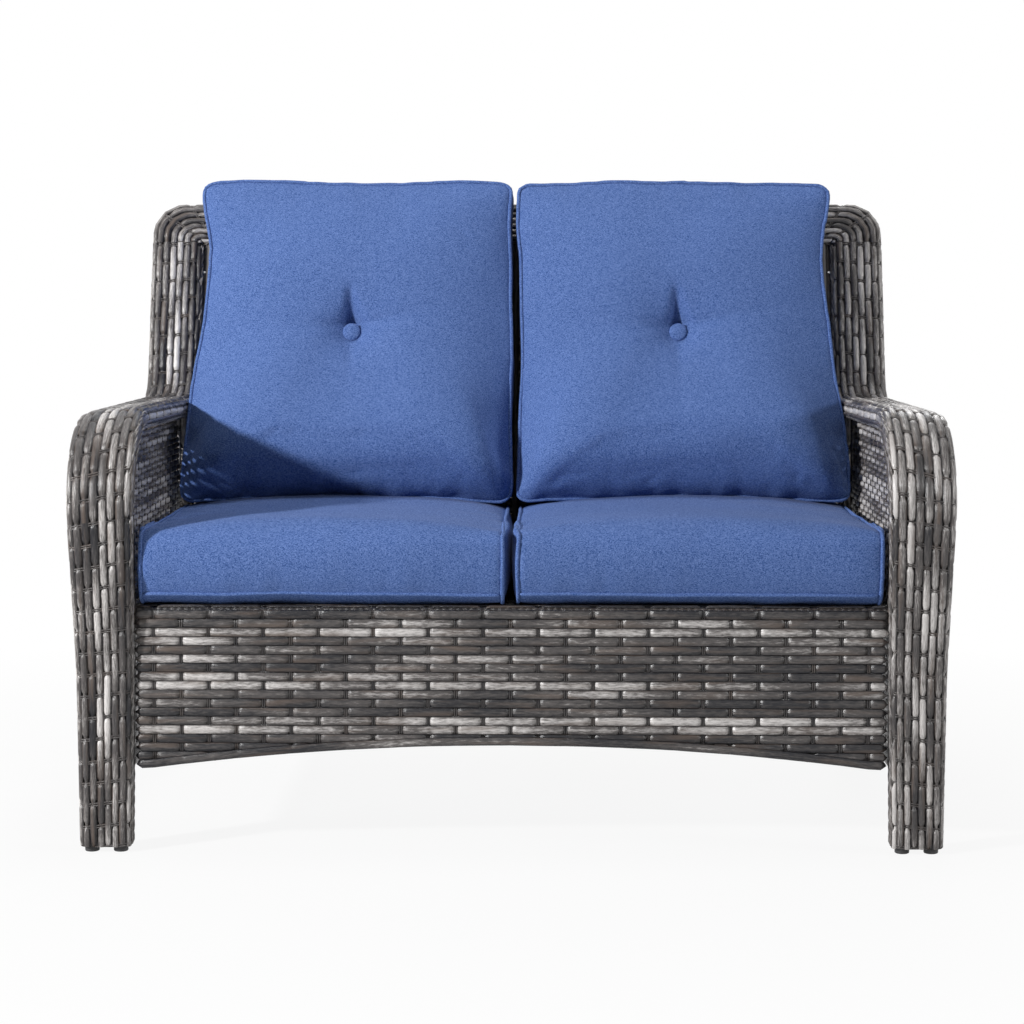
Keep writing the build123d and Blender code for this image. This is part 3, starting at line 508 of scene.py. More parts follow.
def side_bands():
    """The right-hand bands: leg, arm and wing in one run, the shoulder with half of the top
    rail, and the rear leg."""
    sizes = bpy.context.scene.loveseat_frame
    wing_corner = (sizes.wing_height - BACK_FOOT.z) / math.cos(BACK_LEAN)
    runs = []
    for foot, knee, arm, wing, drop in (
        (sizes.inner_foot, sizes.inner_knee, sizes.inner_arm, sizes.inner_wing, 0.0),
        (sizes.outer_foot, sizes.outer_knee, sizes.outer_arm, sizes.outer_wing, sizes.outer_drop),
    ):
        corners = [
            Vector((foot, sizes.front_leg, sizes.glide_height)),
            Vector((knee, sizes.front_leg, sizes.front_knee)),
            Vector((arm, sizes.arm_front, sizes.arm_height - drop)),
            on_back(wing, wing_corner),
            on_back(wing, sizes.wing_top),
        ]
        radii = (sizes.knee_radius, sizes.roll_radius, sizes.wing_radius)
        runs.append(route(corners, radii, 12))
    thickness = 2 * sizes.half_band
    main = Band(runs[0], runs[1], sizes.half_band, thickness, sizes.band_corner)
    inner_x = sizes.inner_wing - sizes.half_band
    outer_x = sizes.outer_wing + sizes.half_band
    centre_x = outer_x - sizes.shoulder
    centre_height = sizes.back_top - sizes.shoulder
    inner = [on_back(inner_x, sizes.wing_top)]
    outer = [on_back(outer_x, sizes.wing_top)]
    steps = 14
    for step in range(steps + 1):
        angle = math.pi / 2 * step / steps
        outer.append(on_back(
            centre_x + sizes.shoulder * math.cos(angle),
            centre_height + sizes.shoulder * math.sin(angle),
        ))
        inner.append(on_back(
            inner_x - 0.006 * (1 - math.cos(angle)), sizes.wing_top + 0.001 * math.sin(angle)
        ))
    for step in range(1, steps + 1):
        share = step / steps
        outer.append(on_back(centre_x * (1 - share), sizes.back_top))
        inner.append(on_back((inner_x - 0.006) * (1 - share), sizes.wing_top))
    normals = [BACK_FORWARD] * len(inner)
    top = Band(inner, outer, 0.0, thickness, sizes.band_corner, normals)
    rear_runs = []
    for wing, foot in (
        (sizes.inner_wing, sizes.inner_foot), (sizes.outer_wing, sizes.outer_foot),
    ):
        corners = [
            Vector((wing, sizes.rear_top, sizes.wing_height)),
            Vector(((wing + foot) / 2, sizes.rear_knee, sizes.rear_knee_height)),
            Vector((foot, sizes.rear_foot, sizes.glide_height)),
        ]
        rear_runs.append(route(corners, (sizes.rear_radius,), 14))
    rear = Band(rear_runs[0], rear_runs[1], sizes.half_band, thickness, sizes.band_corner)
    return main, top, rear


def flat_row(mesh, place, start, end, spacing, parity, width, tone, seed, swing, reach):
    """One oval strand of a panel, which passes from one side of the stakes to the other."""
    wicker = bpy.context.scene.loveseat_wicker
    if end - start < spacing / 3:
        return
    drift_seed = random.Random(seed).uniform(0, 90)
    shares = weave_shares(start, end, spacing, parity, reach)

    def lay(x, y):
        distance = start + (end - start) * x
        angle = math.tau * y
        lean = swing * (1 - 2 * under(distance, spacing, parity, reach))
        sag = 0.0005 * noise.noise((distance * 12, drift_seed, 1.0))
        across = rounder(math.cos(angle), 0.75) * width / 2 * inside_ends(x)
        out = rounder(math.sin(angle), 0.85) * wicker.strand * 0.6 * inside_ends(x)
        return place(distance, across + sag, lean + out)

    def shade(x, y):
        drift = noise.noise((x * (end - start) * 7.0, drift_seed, 9.0))
        # Painted shade: the edges of the oval strand are darkened, standing in for the shade in the
        # crevices between rows.
        edge = 0.70 * abs(math.cos(math.tau * y)) ** 3
        return limited(tone + drift * 0.62 - edge)

    made = add_grid(mesh, len(shares) - 1, 8, lay, shade, shares)
    scale_map(mesh, made, end - start, 0.022, seed)


def panel_weave(
    mesh, place, rows, spans, pitch, spacing, tones, stakes, first_seed, width, reach=None
):
    """Rows and stakes of a flat woven panel. place takes along, up and out, and a longer reach
    makes the strands' dips as long as the rest, as in a basket."""
    wicker = bpy.context.scene.loveseat_wicker
    reach = reach or wicker.dip_reach
    swing = (wicker.stake + wicker.strand) / 2 * 0.86
    for index, level in enumerate(rows):
        def put(distance, rise, out):
            return place(distance, level + rise, out)

        for start, end in spans(level):
            flat_row(
                mesh, put, start, end, spacing, index % 2, pitch * width,
                tones[min(index, len(tones) - 1)], first_seed + index, swing, reach,
            )
    for along, low, high in stakes:
        for pair in (-1, 1):
            def rise(x, y):
                angle = math.tau * y
                radius = wicker.stake / 2 * inside_ends(x)
                side = pair * wicker.stake * 0.55 + radius * math.cos(angle)
                return place(along + side, low + (high - low) * x, radius * math.sin(angle))

            made = add_grid(mesh, max(2, round((high - low) / 0.02)), 6, rise, 0.22)
            scale_map(mesh, made, high - low, 0.004, first_seed + round(along * 1000))


def thin_path(points, sideways):
    """A band of no width along a line, to place rings on it, and its length."""
    nudge = sideways * 1e-4
    path = Band([point - nudge for point in points], [point + nudge for point in points], 0, 1, 0.1)
    return path, along_line(points)[-1]


def ring_point(centre, first, second, turn, radius):
    """Point of a ring round a centre, from its first direction towards its second."""
    return centre + (first * math.cos(turn) + second * math.sin(turn)) * radius


def wrapped_rod(mesh, points, radius, tone, seed):
    """A rod wound round with strand, one ring beside the other."""
    path, total = thin_path(points, Vector((0, 0, 1)))
    turns = max(2, round(total / WOUND_PITCH))
    picker = random.Random(seed)
    shades = [tone + picker.uniform(-0.12, 0.12) for _ in range(turns + 1)]

    def lay(x, y):
        beat = abs(math.sin(math.pi * (x * turns + y)))
        reach = (radius - 0.0016 * (1 - beat**0.6)) * inside_ends(x)
        middle, across, normal, _ = path.station(total * x)
        return ring_point(middle, across, normal, math.tau * y, reach)

    made = add_grid(mesh, turns * 5, 14, lay, lambda x, y: shades[min(turns, int(x * turns))])
    scale_map(mesh, made, total * 0.2, 0.06, seed)


def twisted_strand(mesh, points, radius, twist, tone, seed, strands=3):
    """Thin strands twisted round each other along a line."""
    path, total = thin_path(points, Vector((1, 0, 0)))
    for index in range(strands):
        def lay(x, y):
            middle, across, normal, _ = path.station(total * x)
            turn = math.tau * (total * x / twist + index / strands)
            centre = ring_point(middle, across, normal, turn, radius * 0.55)
            return ring_point(centre, across, normal, math.tau * y, radius * 0.62 * inside_ends(x))

        made = add_grid(mesh, max(4, round(total / twist * 8)), 6, lay, tone + 0.08 * index)
        scale_map(mesh, made, total, 0.006, seed + index)


# Finishes
class Nodes:
    """A tree of shader nodes, with short ways to add nodes and to link them."""

    def __init__(self, tree):
        self.tree = tree

    def add(self, kind, feeds=None, values=None, **traits):
        """Adds a node with its own traits, values of its sockets and links that feed them."""
        node = self.tree.nodes.new("ShaderNode" + kind)
        for name, trait in traits.items():
            setattr(node, name, trait)
        for name, value in (values or {}).items():
            node.inputs[name].default_value = value
        for name, output in (feeds or {}).items():
            self.tree.links.new(output, node.inputs[name])
        return node

    def noise(self, vector, scale, detail, roughness=0.5):
        """Output of a noise texture."""
        return self.add(
            "TexNoise", {"Vector": vector},
            {"Scale": scale, "Detail": detail, "Roughness": roughness},
        ).outputs["Fac"]

    def stretched(self, vector, scale):
        """Output of a mapping that scales a pattern's place."""
        return self.add("Mapping", {"Vector": vector}, {"Scale": scale}).outputs["Vector"]

    def mixed(self, share, first, second):
        """Output of a colour mix. The first colour may be an output."""
        feeds = {"Factor": share}
        values = {"B": (*second, 1)}
        if isinstance(first, bpy.types.NodeSocket):
            feeds["A"] = first
        else:
            values["A"] = (*first, 1)
        return self.add("Mix", feeds, values, data_type="RGBA").outputs["Result"]

    def white_rays(self):
        """1 for a ray by which the camera, a mirror or a clear piece sees the white."""
        path = self.add("LightPath")
        total = path.outputs["Is Camera Ray"]
        for name in ("Is Glossy Ray", "Is Transmission Ray"):
            added = self.add("Math", {0: total, 1: path.outputs[name]}, operation="MAXIMUM")
            total = added.outputs[0]
        return total

    def blend(self, share, first, second, output):
        """Mixes two shaders into the tree's output."""
        mixed = self.add("MixShader", {"Fac": share, 1: first, 2: second})
        self.tree.links.new(mixed.outputs["Shader"], self.tree.nodes[output].inputs["Surface"])


class Finish(Nodes):
    """A material whose nodes end in its shader."""

    def __init__(self, name):
        self.material = bpy.data.materials.new(name)
        self.material.use_nodes = True
        super().__init__(self.material.node_tree)
        self.shader = self.tree.nodes["Principled BSDF"]

    def finish(self, colour_output, relief, strength, depth, **values):
        """Links colour and relief to the shader and sets its other values."""
        bump = self.add("Bump", {"Height": relief}, {"Strength": strength, "Distance": depth})
        self.tree.links.new(colour_output, self.shader.inputs["Base Color"])
        self.tree.links.new(bump.outputs["Normal"], self.shader.inputs["Normal"])
        for name, value in values.items():
            self.shader.inputs[name.replace("_", " ")].default_value = value
        return self.material


def wicker_finish():
    """Resin strand: mixed greys with brown drift, lengthwise grain and a soft gloss."""
    wicker = bpy.context.scene.loveseat_wicker
    strand = Finish("resin_strand")
    tone = strand.add("Attribute", attribute_name="tone").outputs["Fac"]
    uv = strand.add("UVMap", uv_map="strand").outputs["UV"]
    grain = strand.noise(strand.stretched(uv, (75, 760, 1)), 1.0, 4.0, 0.70)
    drift = strand.noise(strand.stretched(uv, (9, 160, 1)), 1.0, 2.0)
    spread = strand.add("Math", {0: grain, 2: tone}, {1: 1.50}, operation="MULTIPLY_ADD")
    centre = strand.add("Math", {0: spread.outputs[0]}, {1: 0.75}, operation="SUBTRACT")
    ramp = strand.add("ValToRGB", {"Fac": centre.outputs[0]})
    stops = ramp.color_ramp.elements
    stops[0].color = (*wicker.dark, 1)
    stops[1].color = (*wicker.light, 1)
    stops.new(0.5).color = (*wicker.middle, 1)
    blotch = strand.add(
        "MapRange", {"Value": drift}, {"From Min": 0.52, "From Max": 0.72, "To Max": 0.55}
    )
    tint = strand.mixed(blotch.outputs["Result"], ramp.outputs["Color"], wicker.brown)
    return strand.finish(
        tint, grain, 0.80, 0.0009, Roughness=0.31, Specular_IOR_Level=0.45
    )


def canvas_finish():
    """Plain woven outdoor canvas with a fine heather."""
    cushion = bpy.context.scene.loveseat_cushion
    cloth = Finish("denim_canvas")
    place = cloth.add("TexCoord").outputs["Object"]
    warp, weft = (
        cloth.noise(cloth.stretched(place, scale), 1.0, 2.0)
        for scale in ((1500, 1500, 420), (400, 400, 1500))
    )
    weave = cloth.add("Math", {0: warp, 1: weft}, operation="ADD").outputs[0]
    level = cloth.add("MapRange", {"Value": weave}, {"From Min": 0.82, "From Max": 1.18})
    tint = cloth.mixed(level.outputs["Result"], cushion.canvas, cushion.canvas_light)
    return cloth.finish(
        tint, weave, 0.12, 0.0002,
        Roughness=0.90, Sheen_Weight=0.03, Sheen_Roughness=0.45, Specular_IOR_Level=0.10,
    )


def speckled_finish(name, base, pale, scale, roughness, metallic=0.0):
    """A plain finish with a fine mottle in its colour and surface."""
    plain = Finish(name)
    mottle = plain.noise(plain.add("TexCoord").outputs["Object"], scale, 4.0)
    tint = plain.mixed(mottle, base, pale)
    return plain.finish(tint, mottle, 0.15, 0.0003, Roughness=roughness, Metallic=metallic)


# Finish of the frame's own nodes by their slot: name, both colours, scale of the mottle,
# roughness, and how metallic it is.
FITTINGS = {
    "coated_steel": ("powder_coat", (0.055, 0.050, 0.050), (0.085, 0.078, 0.076), 900, 0.50),
    "foot_plastic": ("foot_plastic", (0.018, 0.018, 0.019), (0.034, 0.034, 0.036), 700, 0.55),
    "bright_steel": ("zinc", (0.52, 0.52, 0.53), (0.66, 0.66, 0.67), 400, 0.32, 1.0),
    "cushion_foam": ("open_foam", (0.72, 0.70, 0.62), (0.86, 0.84, 0.77), 1200, 0.95),
    "tuft_thread": ("tuft_twine", (0.07, 0.12, 0.30), (0.12, 0.19, 0.42), 2000, 0.8),
    "plain_plastic": ("disc_plastic", (0.05, 0.08, 0.20), (0.07, 0.11, 0.25), 600, 0.5),
}


def floor_finish(shade):
    """Pale floor that keeps the loveseat's shadow and fades to plain white round it."""
    pale = Finish("pale_floor")
    pale.shader.inputs["Base Color"].default_value = (*shade, 1)
    pale.shader.inputs["Roughness"].default_value = 0.9
    white = pale.add("Emission", None, {"Strength": 1.0}).outputs["Emission"]
    away = pale.add("VectorMath", {0: pale.add("TexCoord").outputs["Object"]}, operation="LENGTH")
    fade = pale.add(
        "MapRange", {"Value": away.outputs["Value"]},
        {"From Min": 0.7, "From Max": 1.9, "To Min": 0.90},
    ).outputs["Result"]
    share = pale.add("Math", {0: pale.white_rays(), 1: fade}, operation="MULTIPLY").outputs[0]
    pale.blend(share, pale.shader.outputs["BSDF"], white, "Material Output")
    return pale.material


def strand_material():
    return bpy.data.materials.get("resin_strand") or wicker_finish()


def canvas_material():
    return bpy.data.materials.get("denim_canvas") or canvas_finish()


class LOVESEAT_OT_bands(bpy.types.Operator):
    """Weave the legs, arms, wings, rear legs and top rail"""

    bl_idname = "loveseat.bands"
    bl_label = "Woven Bands"

    def execute(self, context):
        main, top, rear = side_bands()
        leg_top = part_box("right_front_leg_weave")[1][2] - 0.012
        leg_end = first_distance(main, lambda middle: middle.z >= leg_top)
        arm_end = first_distance(main, lambda middle: middle.y > 0.1)
        for side, word in SIDES:
            tones = list(BAND_TONES)
            random.Random(11 + side).shuffle(tones)
            for name, band, start, end in (
                ("front_leg", main, 0.0, leg_end),
                ("arm", main, leg_end, arm_end),
                ("wing", main, arm_end, main.length),
                ("rear_leg", rear, 0.0, rear.length),
                ("top_rail", top, 0.0, top.length),
            ):
                node = "top_rail_weave" if band is top else f"{word}_{name}_weave"
                weave_band(band, start, end, tones, f"{word}_{name}_strands", node, side)
        return {"FINISHED"}


def first_distance(band, reached):
    """Distance along a band of its first station that passes a test."""
    for distance, middle in zip(band.travelled, band.middles):
        if reached(middle):
            return distance
    raise ValueError("the band never gets there")


def stepped(start, end, step):
    """Places from a start towards an end, a step apart."""
    places = []
    while (end - start) * step > 0:
        places.append(start)
        start += step
    return places


def stake_places(spacing, half):
    """Places of the stakes in a panel that reaches as far on both sides."""
    count = int(half / spacing)
    return [index * spacing for index in range(-count, count + 1)]


class LOVESEAT_OT_apron(bpy.types.Operator):
    """Weave the arched front apron"""

    bl_idname = "loveseat.apron"
    bl_label = "Front Apron"

    def execute(self, context):
        wicker = context.scene.loveseat_wicker
        low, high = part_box("apron_weave")
        half = high[0]
        front = low[1] + 0.003
        bottom = low[2]
        top = high[2]
        rise = 0.0325
        reach = half - 0.020
        radius = (reach**2 + rise**2) / (2 * rise)

        def edge(x):
            """Height of the arched lower edge."""
            if abs(x) >= reach:
                return bottom
            return bottom + rise - radius + math.sqrt(radius**2 - x**2)

        def place(along, up, out):
            return Vector((along, front - out, up))

        def spans(level):
            start = level - wicker.row * 0.45
            if start >= bottom + rise:
                return [(-half, half)]
            if start <= bottom:
                return []
            spread = math.sqrt(radius**2 - (start - bottom - rise + radius) ** 2)
            return [(-half, -spread), (spread, half)]

        rows = stepped(top - 0.0105, bottom + 0.006, -wicker.row)
        stakes = [
            (along, edge(along) - 0.0015, top - 0.004)
            for along in stake_places(wicker.apron_stakes, half)
        ]
        mesh = new_mesh()
        panel_weave(
            mesh, place, rows, spans, wicker.row, wicker.apron_stakes, APRON_TONES, stakes,
            first_seed=300, width=1.06,
        )
        for out, seed in ((0.0046, 901), (-0.0040, 902)):
            def hem(distance, up, lean):
                return Vector((distance, front - out - lean, edge(distance) + 0.0056 + up))

            flat_row(
                mesh, hem, -half + 0.001, half - 0.001, wicker.apron_stakes, seed % 2,
                width=0.0118, tone=0.30, seed=seed, swing=0.0004, reach=wicker.dip_reach,
            )
        rail = straight(place(-reach, 0.010, -0.0093), place(reach, 0.010, -0.0093), 60)
        rail = [spot + Vector((0, 0, edge(spot.x))) for spot in rail]
        wrapped_rod(mesh, rail, radius=0.0094, tone=0.34, seed=60)
        ledge = [place(-half + 2 * half * step / 40, top - 0.0045, 0) for step in range(41)]
        twisted_strand(mesh, ledge, radius=0.0042, twist=0.135, tone=0.30, seed=930)
        rod = [spot + Vector((0, 0.0072, -0.0022)) for spot in ledge]
        wrapped_rod(mesh, rod, radius=0.0062, tone=0.16, seed=931)
        add_weave(mesh, "apron_strands", "apron_weave")
        return {"FINISHED"}


def crossings(line, level):
    """Where a line of (level, place) pairs passes a level."""
    return [
        start + (end - start) * (level - low) / (high - low)
        for (low, start), (high, end) in zip(line, line[1:])
        if min(low, high) <= level <= max(low, high) and abs(high - low) > 1e-6
    ]


class LOVESEAT_OT_side_panels(bpy.types.Operator):
    """Weave the two side panels under the arms"""

    bl_idname = "loveseat.side_panels"
    bl_label = "Side Panels"

    def execute(self, context):
        wicker = context.scene.loveseat_wicker
        sizes = context.scene.loveseat_frame
        main, _, rear = side_bands()
        low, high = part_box("right_side_panel_weave")
        margin = sizes.half_band + 0.001
        front_edge = [(spot.z, spot.y) for spot in main.middles if spot.y < -0.1]
        rear_edge = [(spot.z, spot.y) for spot in rear.middles]
        under_arm = [(spot.y, spot.z) for spot in main.middles if spot.z > 0.5]

        def spans(level):
            """The stretch between the legs' bands that lies under the arm's band."""
            front = (crossings(front_edge, level) or [sizes.arm_front])[0] + margin
            back = (crossings(rear_edge, level) or [sizes.rear_top])[0] - margin
            inside = [
                along for along in (front + (back - front) * step / 160 for step in range(161))
                if min(crossings(under_arm, along), default=0.5) - margin > level
            ]
            return [(inside[0], inside[-1])] if len(inside) > 2 else []

        rows = stepped(low[2] + 0.014, high[2], wicker.side_row)
        stakes = []
        for along in stepped(low[1] + 0.01, high[1], wicker.side_stakes):
            tops = [level for level in rows for start, end in spans(level) if start < along < end]
            if len(tops) > 2:
                stakes.append((along, min(tops) - 0.004, max(tops) + 0.004))
        for side, word in SIDES:
            def place(along, up, out):
                return Vector((side * sizes.side_plane + out, along, up))

            picker = random.Random(5 + side)
            shades = [picker.uniform(0.60, 1.00) for _ in rows]
            mesh = new_mesh()
            panel_weave(
                mesh, place, rows, spans, wicker.side_row, wicker.side_stakes, shades, stakes,
                first_seed=500 + side * 60, width=0.96, reach=wicker.side_stakes * 0.5,
            )
            ends = [place(along, sizes.side_bottom, 0) for along in spans(low[2] + 0.012)[0]]
            wrapped_rod(mesh, straight(*ends, 20), radius=0.0102, tone=0.42, seed=70)
            add_weave(mesh, f"{word}_side_strands", f"{word}_side_panel_weave")
        return {"FINISHED"}


class LOVESEAT_OT_back_panel(bpy.types.Operator):
    """Weave the back panel and the seat deck"""

    bl_idname = "loveseat.back_panel"
    bl_label = "Back Panel and Deck"

    def execute(self, context):
        wicker = context.scene.loveseat_wicker
        top = context.scene.loveseat_frame.wing_top - 0.002
        spacing = wicker.apron_stakes
        half = 0.488
        rows = [0.020 + wicker.row * index for index in range(42)]
        stakes = [(along, 0.010, top) for along in stake_places(spacing, half)]
        picker = random.Random(3)
        shades = [picker.uniform(0.30, 0.72) for _ in rows]
        mesh = new_mesh()
        panel_weave(
            mesh, on_back, rows, lambda level: [(-half, half)], wicker.row, spacing, shades,
            stakes, first_seed=1200, width=1.03,
        )
        for x in (-half, half):
            stile = straight(on_back(x, 0.012), on_back(x, 0.524), 30)
            wrapped_rod(mesh, stile, radius=0.0136, tone=0.46, seed=80)
        base = straight(on_back(-half, 0.0130), on_back(half, 0.0130), 40)
        wrapped_rod(mesh, base, radius=0.0121, tone=0.46, seed=90)
        add_weave(mesh, "back_strands", "back_panel_weave")
        low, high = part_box("seat_deck_weave")
        middle = (low[2] + high[2]) / 2
        rows = stepped(low[1] + wicker.row / 2, high[1], wicker.row)
        stakes = [(along, low[1] + 0.001, high[1] - 0.001) for along in stake_places(spacing, half)]
        shades = [picker.uniform(0.25, 0.60) for _ in rows]
        mesh = new_mesh()
        panel_weave(
            mesh, lambda across, depth, out: Vector((across, depth, middle + out)), rows,
            lambda level: [(low[0], high[0])], wicker.row, spacing, shades, stakes,
            first_seed=1500, width=1.03,
        )
        add_weave(mesh, "seat_deck_strands", "seat_deck_weave")
        return {"FINISHED"}


class LOVESEAT_OT_hardware(bpy.types.Operator):
    """Finish the steel tubes, foot glides, screws and washers"""

    bl_idname = "loveseat.hardware"
    bl_label = "Frame and Fittings"

    def execute(self, context):
        finishes = {slot: speckled_finish(*look) for slot, look in FITTINGS.items()}
        for entry in frame["record"]["subparts"]:
            finish = finishes.get(entry["material_slot"])
            if finish:
                for slot in frame["nodes"][entry["node"]].material_slots:
                    slot.material = finish
        return {"FINISHED"}


# Cushions
def seam_tree(seams):
    """A search tree of the points of some seams."""
    points = [point for line in seams for point in line]
    tree = KDTree(len(points))
    for index, point in enumerate(points):
        tree.insert(point, index)
    tree.balance()
    return tree


def swell_cloth(piece, seams, reach, pressure, cap):
    """Fills a closed cloth with air while it is held near its seams, then keeps the shape."""
    tree = seam_tree(seams)
    held = [vertex.index for vertex in piece.data.vertices if tree.find(vertex.co)[2] < reach]
    piece.vertex_groups.new(name="seams").add(held, 1.0, "REPLACE")
    cloth = piece.modifiers.new("air", "CLOTH")
    settings = cloth.settings
    settings.vertex_group_mass = "seams"
    settings.use_pressure = True
    settings.uniform_pressure_force = pressure
    settings.effector_weights.gravity = 0.0
    settings.tension_stiffness = 12
    settings.compression_stiffness = 12
    settings.shear_stiffness = 5
    settings.bending_stiffness = 0.4
    settings.quality = 4
    cloth.collision_settings.use_collision = False
    cloth.point_cache.frame_start = 1
    cloth.point_cache.frame_end = SWELL_FRAMES
    scene = bpy.context.scene
    for step in range(1, SWELL_FRAMES + 1):
        scene.frame_set(step)
    blown = piece.evaluated_get(bpy.context.evaluated_depsgraph_get())
    places = [vertex.co.copy() for vertex in blown.to_mesh().vertices]
    blown.to_mesh_clear()
    piece.modifiers.remove(cloth)
    for vertex, after in zip(piece.data.vertices, places):
        move = after - vertex.co
        if move.length > cap:
            move = move.normalized() * cap
        vertex.co += move
    scene.frame_set(1)


def remeshed(piece):
    """Rebuilds a closed piece in even small faces."""
    modifier = piece.modifiers.new("even", "REMESH")
    modifier.mode = "VOXEL"
    modifier.voxel_size = VOXEL
    depsgraph = bpy.context.evaluated_depsgraph_get()
    made = bpy.data.meshes.new_from_object(piece.evaluated_get(depsgraph))
    piece.modifiers.remove(modifier)
    old = piece.data
    piece.data = made
    bpy.data.meshes.remove(old)
    drop_flecks(made)


def drop_flecks(data):
    """Keeps the largest connected part of a mesh."""
    mesh = bmesh.new()
    mesh.from_mesh(data)
    waiting = set(mesh.verts)
    parts = []
    while waiting:
        part = {waiting.pop()}
        edge = list(part)
        while edge:
            vert = edge.pop()
            fresh = {link.other_vert(vert) for link in vert.link_edges} - part
            part |= fresh
            edge += fresh
        waiting -= part
        parts.append(part)
    body = max(parts, key=len)
    stray = [vert for vert in mesh.verts if vert not in body]
    bmesh.ops.delete(mesh, geom=stray, context="VERTS")
    mesh.to_mesh(data)
    mesh.free()


def smoothed(points, passes):
    """An open line of points with its kinks eased."""
    for _ in range(passes):
        inner = [
            (before + point * 2 + after) / 4
            for before, point, after in zip(points, points[1:], points[2:])
        ]
        points = [points[0], *inner, points[-1]]
    return points


def point_at(line, travelled, distance):
    """Point of a line at a distance along it."""
    low, share = stretch_at(travelled, distance)
    return line[low].lerp(line[low + 1], share)


def piping_tube(name, loops, body):
    """Round welt along some seams. Each comes with True where it closes."""
    radius = bpy.context.scene.loveseat_cushion.piping / 2
    mesh = new_mesh()
    for points, closed in loops:
        line = [*points, points[0]] if closed else points
        travelled = along_line(line)
        total = travelled[-1]
        count = max(8, round(total / 0.006))

        def at(share):
            return point_at(line, travelled, share * total)

        frames = []
        guide = Vector((0.31, 0.52, 0.79))
        for step in range(count + 1):
            share = step / count
            if closed:
                tangent = at((share + 0.002) % 1.0) - at((share - 0.002) % 1.0)
            else:
                tangent = at(min(1.0, share + 0.004)) - at(max(0.0, share - 0.004))
            tangent.normalize()
            guide = (guide - tangent * guide.dot(tangent)).normalized()
            frames.append((at(share), guide.copy(), tangent.cross(guide)))
        _, first, second = frames[0]
        last = frames[-1][1]
        twist = math.atan2(last.dot(second), last.dot(first)) if closed else 0.0

        def lay(x, y):
            spot = frames[min(count, round(x * count))]
            reach = radius if closed else radius * inside_ends(x)
            return ring_point(*spot, math.tau * y - twist * x, reach)

        add_grid(mesh, count, 8, lay, 0.5)
    bmesh.ops.remove_doubles(mesh, verts=mesh.verts, dist=0.00003)
    bmesh.ops.recalc_face_normals(mesh, faces=mesh.faces)
    tie_piece(add_object(mesh, name, canvas_material()), body, ())


def seat_loop(x, inset=0.0, crown=0.0):
    """Outline of a seat cushion at one x: waterfall front and top, a seam low on its front and a
    base that sags to the deck. A crown pushes it out and an inset draws it in."""
    cushion = bpy.context.scene.loveseat_cushion
    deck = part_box("right_seat_cushion_cover")[0][2]
    front = cushion.seat_front + inset
    rear = cushion.seat_rear - 0.004 - inset
    seam = deck + cushion.seam_rise + inset
    base = seam - 0.0150 - (cushion.seam_rise - 0.0162) * crown
    top = deck + cushion.seat_edge - 0.004 - inset + cushion.seat_crown * crown
    corners = (
        (front + 0.0080, seam, 0.0020),
        (front + 0.0165, seam - 0.0105, 0.0060),
        (front + 0.0300, base, 0.0060),
        (rear, base, 0.014),
        (rear, top, 0.018),
        (front - 0.003 * crown, top, 0.016 + 0.028 * crown),
        (front - 0.005 * crown - 0.001, deck + 0.047, 0.070),
    )
    spots = [Vector((x, y, z)) for y, z, _ in corners]
    points = []
    for index, (_, _, radius) in enumerate(corners):
        points += bend(spots[index - 1], spots[index], spots[(index + 1) % 7], radius, 8)
    return [relaxed(point, 0.0030) for point in evened(points, 120)]


def relaxed(point, reach):
    """A point moved a little, so that a sewn shape isn't dead straight."""
    return point + noise.noise_vector(point * 8.5) * reach


def evened(points, count):
    """The same closed line with evenly spaced points."""
    line = [*points, points[0]]
    travelled = along_line(line)
    return [point_at(line, travelled, travelled[-1] * index / count) for index in range(count)]


def closed_form(name, outlines):
    """A closed solid of canvas through outlines that have the same number of points."""
    mesh = bmesh.new()
    rings = []
    for outline in outlines:
        verts = [mesh.verts.new(point) for point in outline]
        edges = [mesh.edges.new(pair) for pair in zip(verts, verts[1:] + verts[:1])]
        rings.append((verts, edges))
    for (_, first), (_, second) in zip(rings, rings[1:]):
        bmesh.ops.bridge_loops(mesh, edges=first + second)
    for verts, _ in (rings[0], rings[-1]):
        mesh.faces.new(verts)
    bmesh.ops.recalc_face_normals(mesh, faces=mesh.faces)
    piece = add_object(mesh, name, canvas_material())
    remeshed(piece)
    return piece


def dense(points):
    """The same closed line with points at most a seam step apart."""
    fresh = []
    for start, end in zip(points, [*points[1:], points[0]]):
        count = max(1, math.ceil((end - start).length / SEAM_STEP))
        fresh += [start.lerp(end, index / count) for index in range(count)]
    return fresh


def finish_cushion(piece, side, word, kind, seams, closed, waver):
    """Rounds off a cushion, ties it to its body and sews its piping on."""
    modifier = piece.modifiers.new("smooth", "SUBSURF")
    modifier.levels = 1
    modifier.render_levels = 1
    body = f"{word}_{kind}_cushion"
    tie_piece(piece, body, (f"{body}_cover", f"{body}_foam"))
    wavy = [wander(line, waver, index + side) for index, line in enumerate(seams)]
    piping_tube(f"{word}_{kind}_piping", zip(snug(piece, wavy), closed), body)


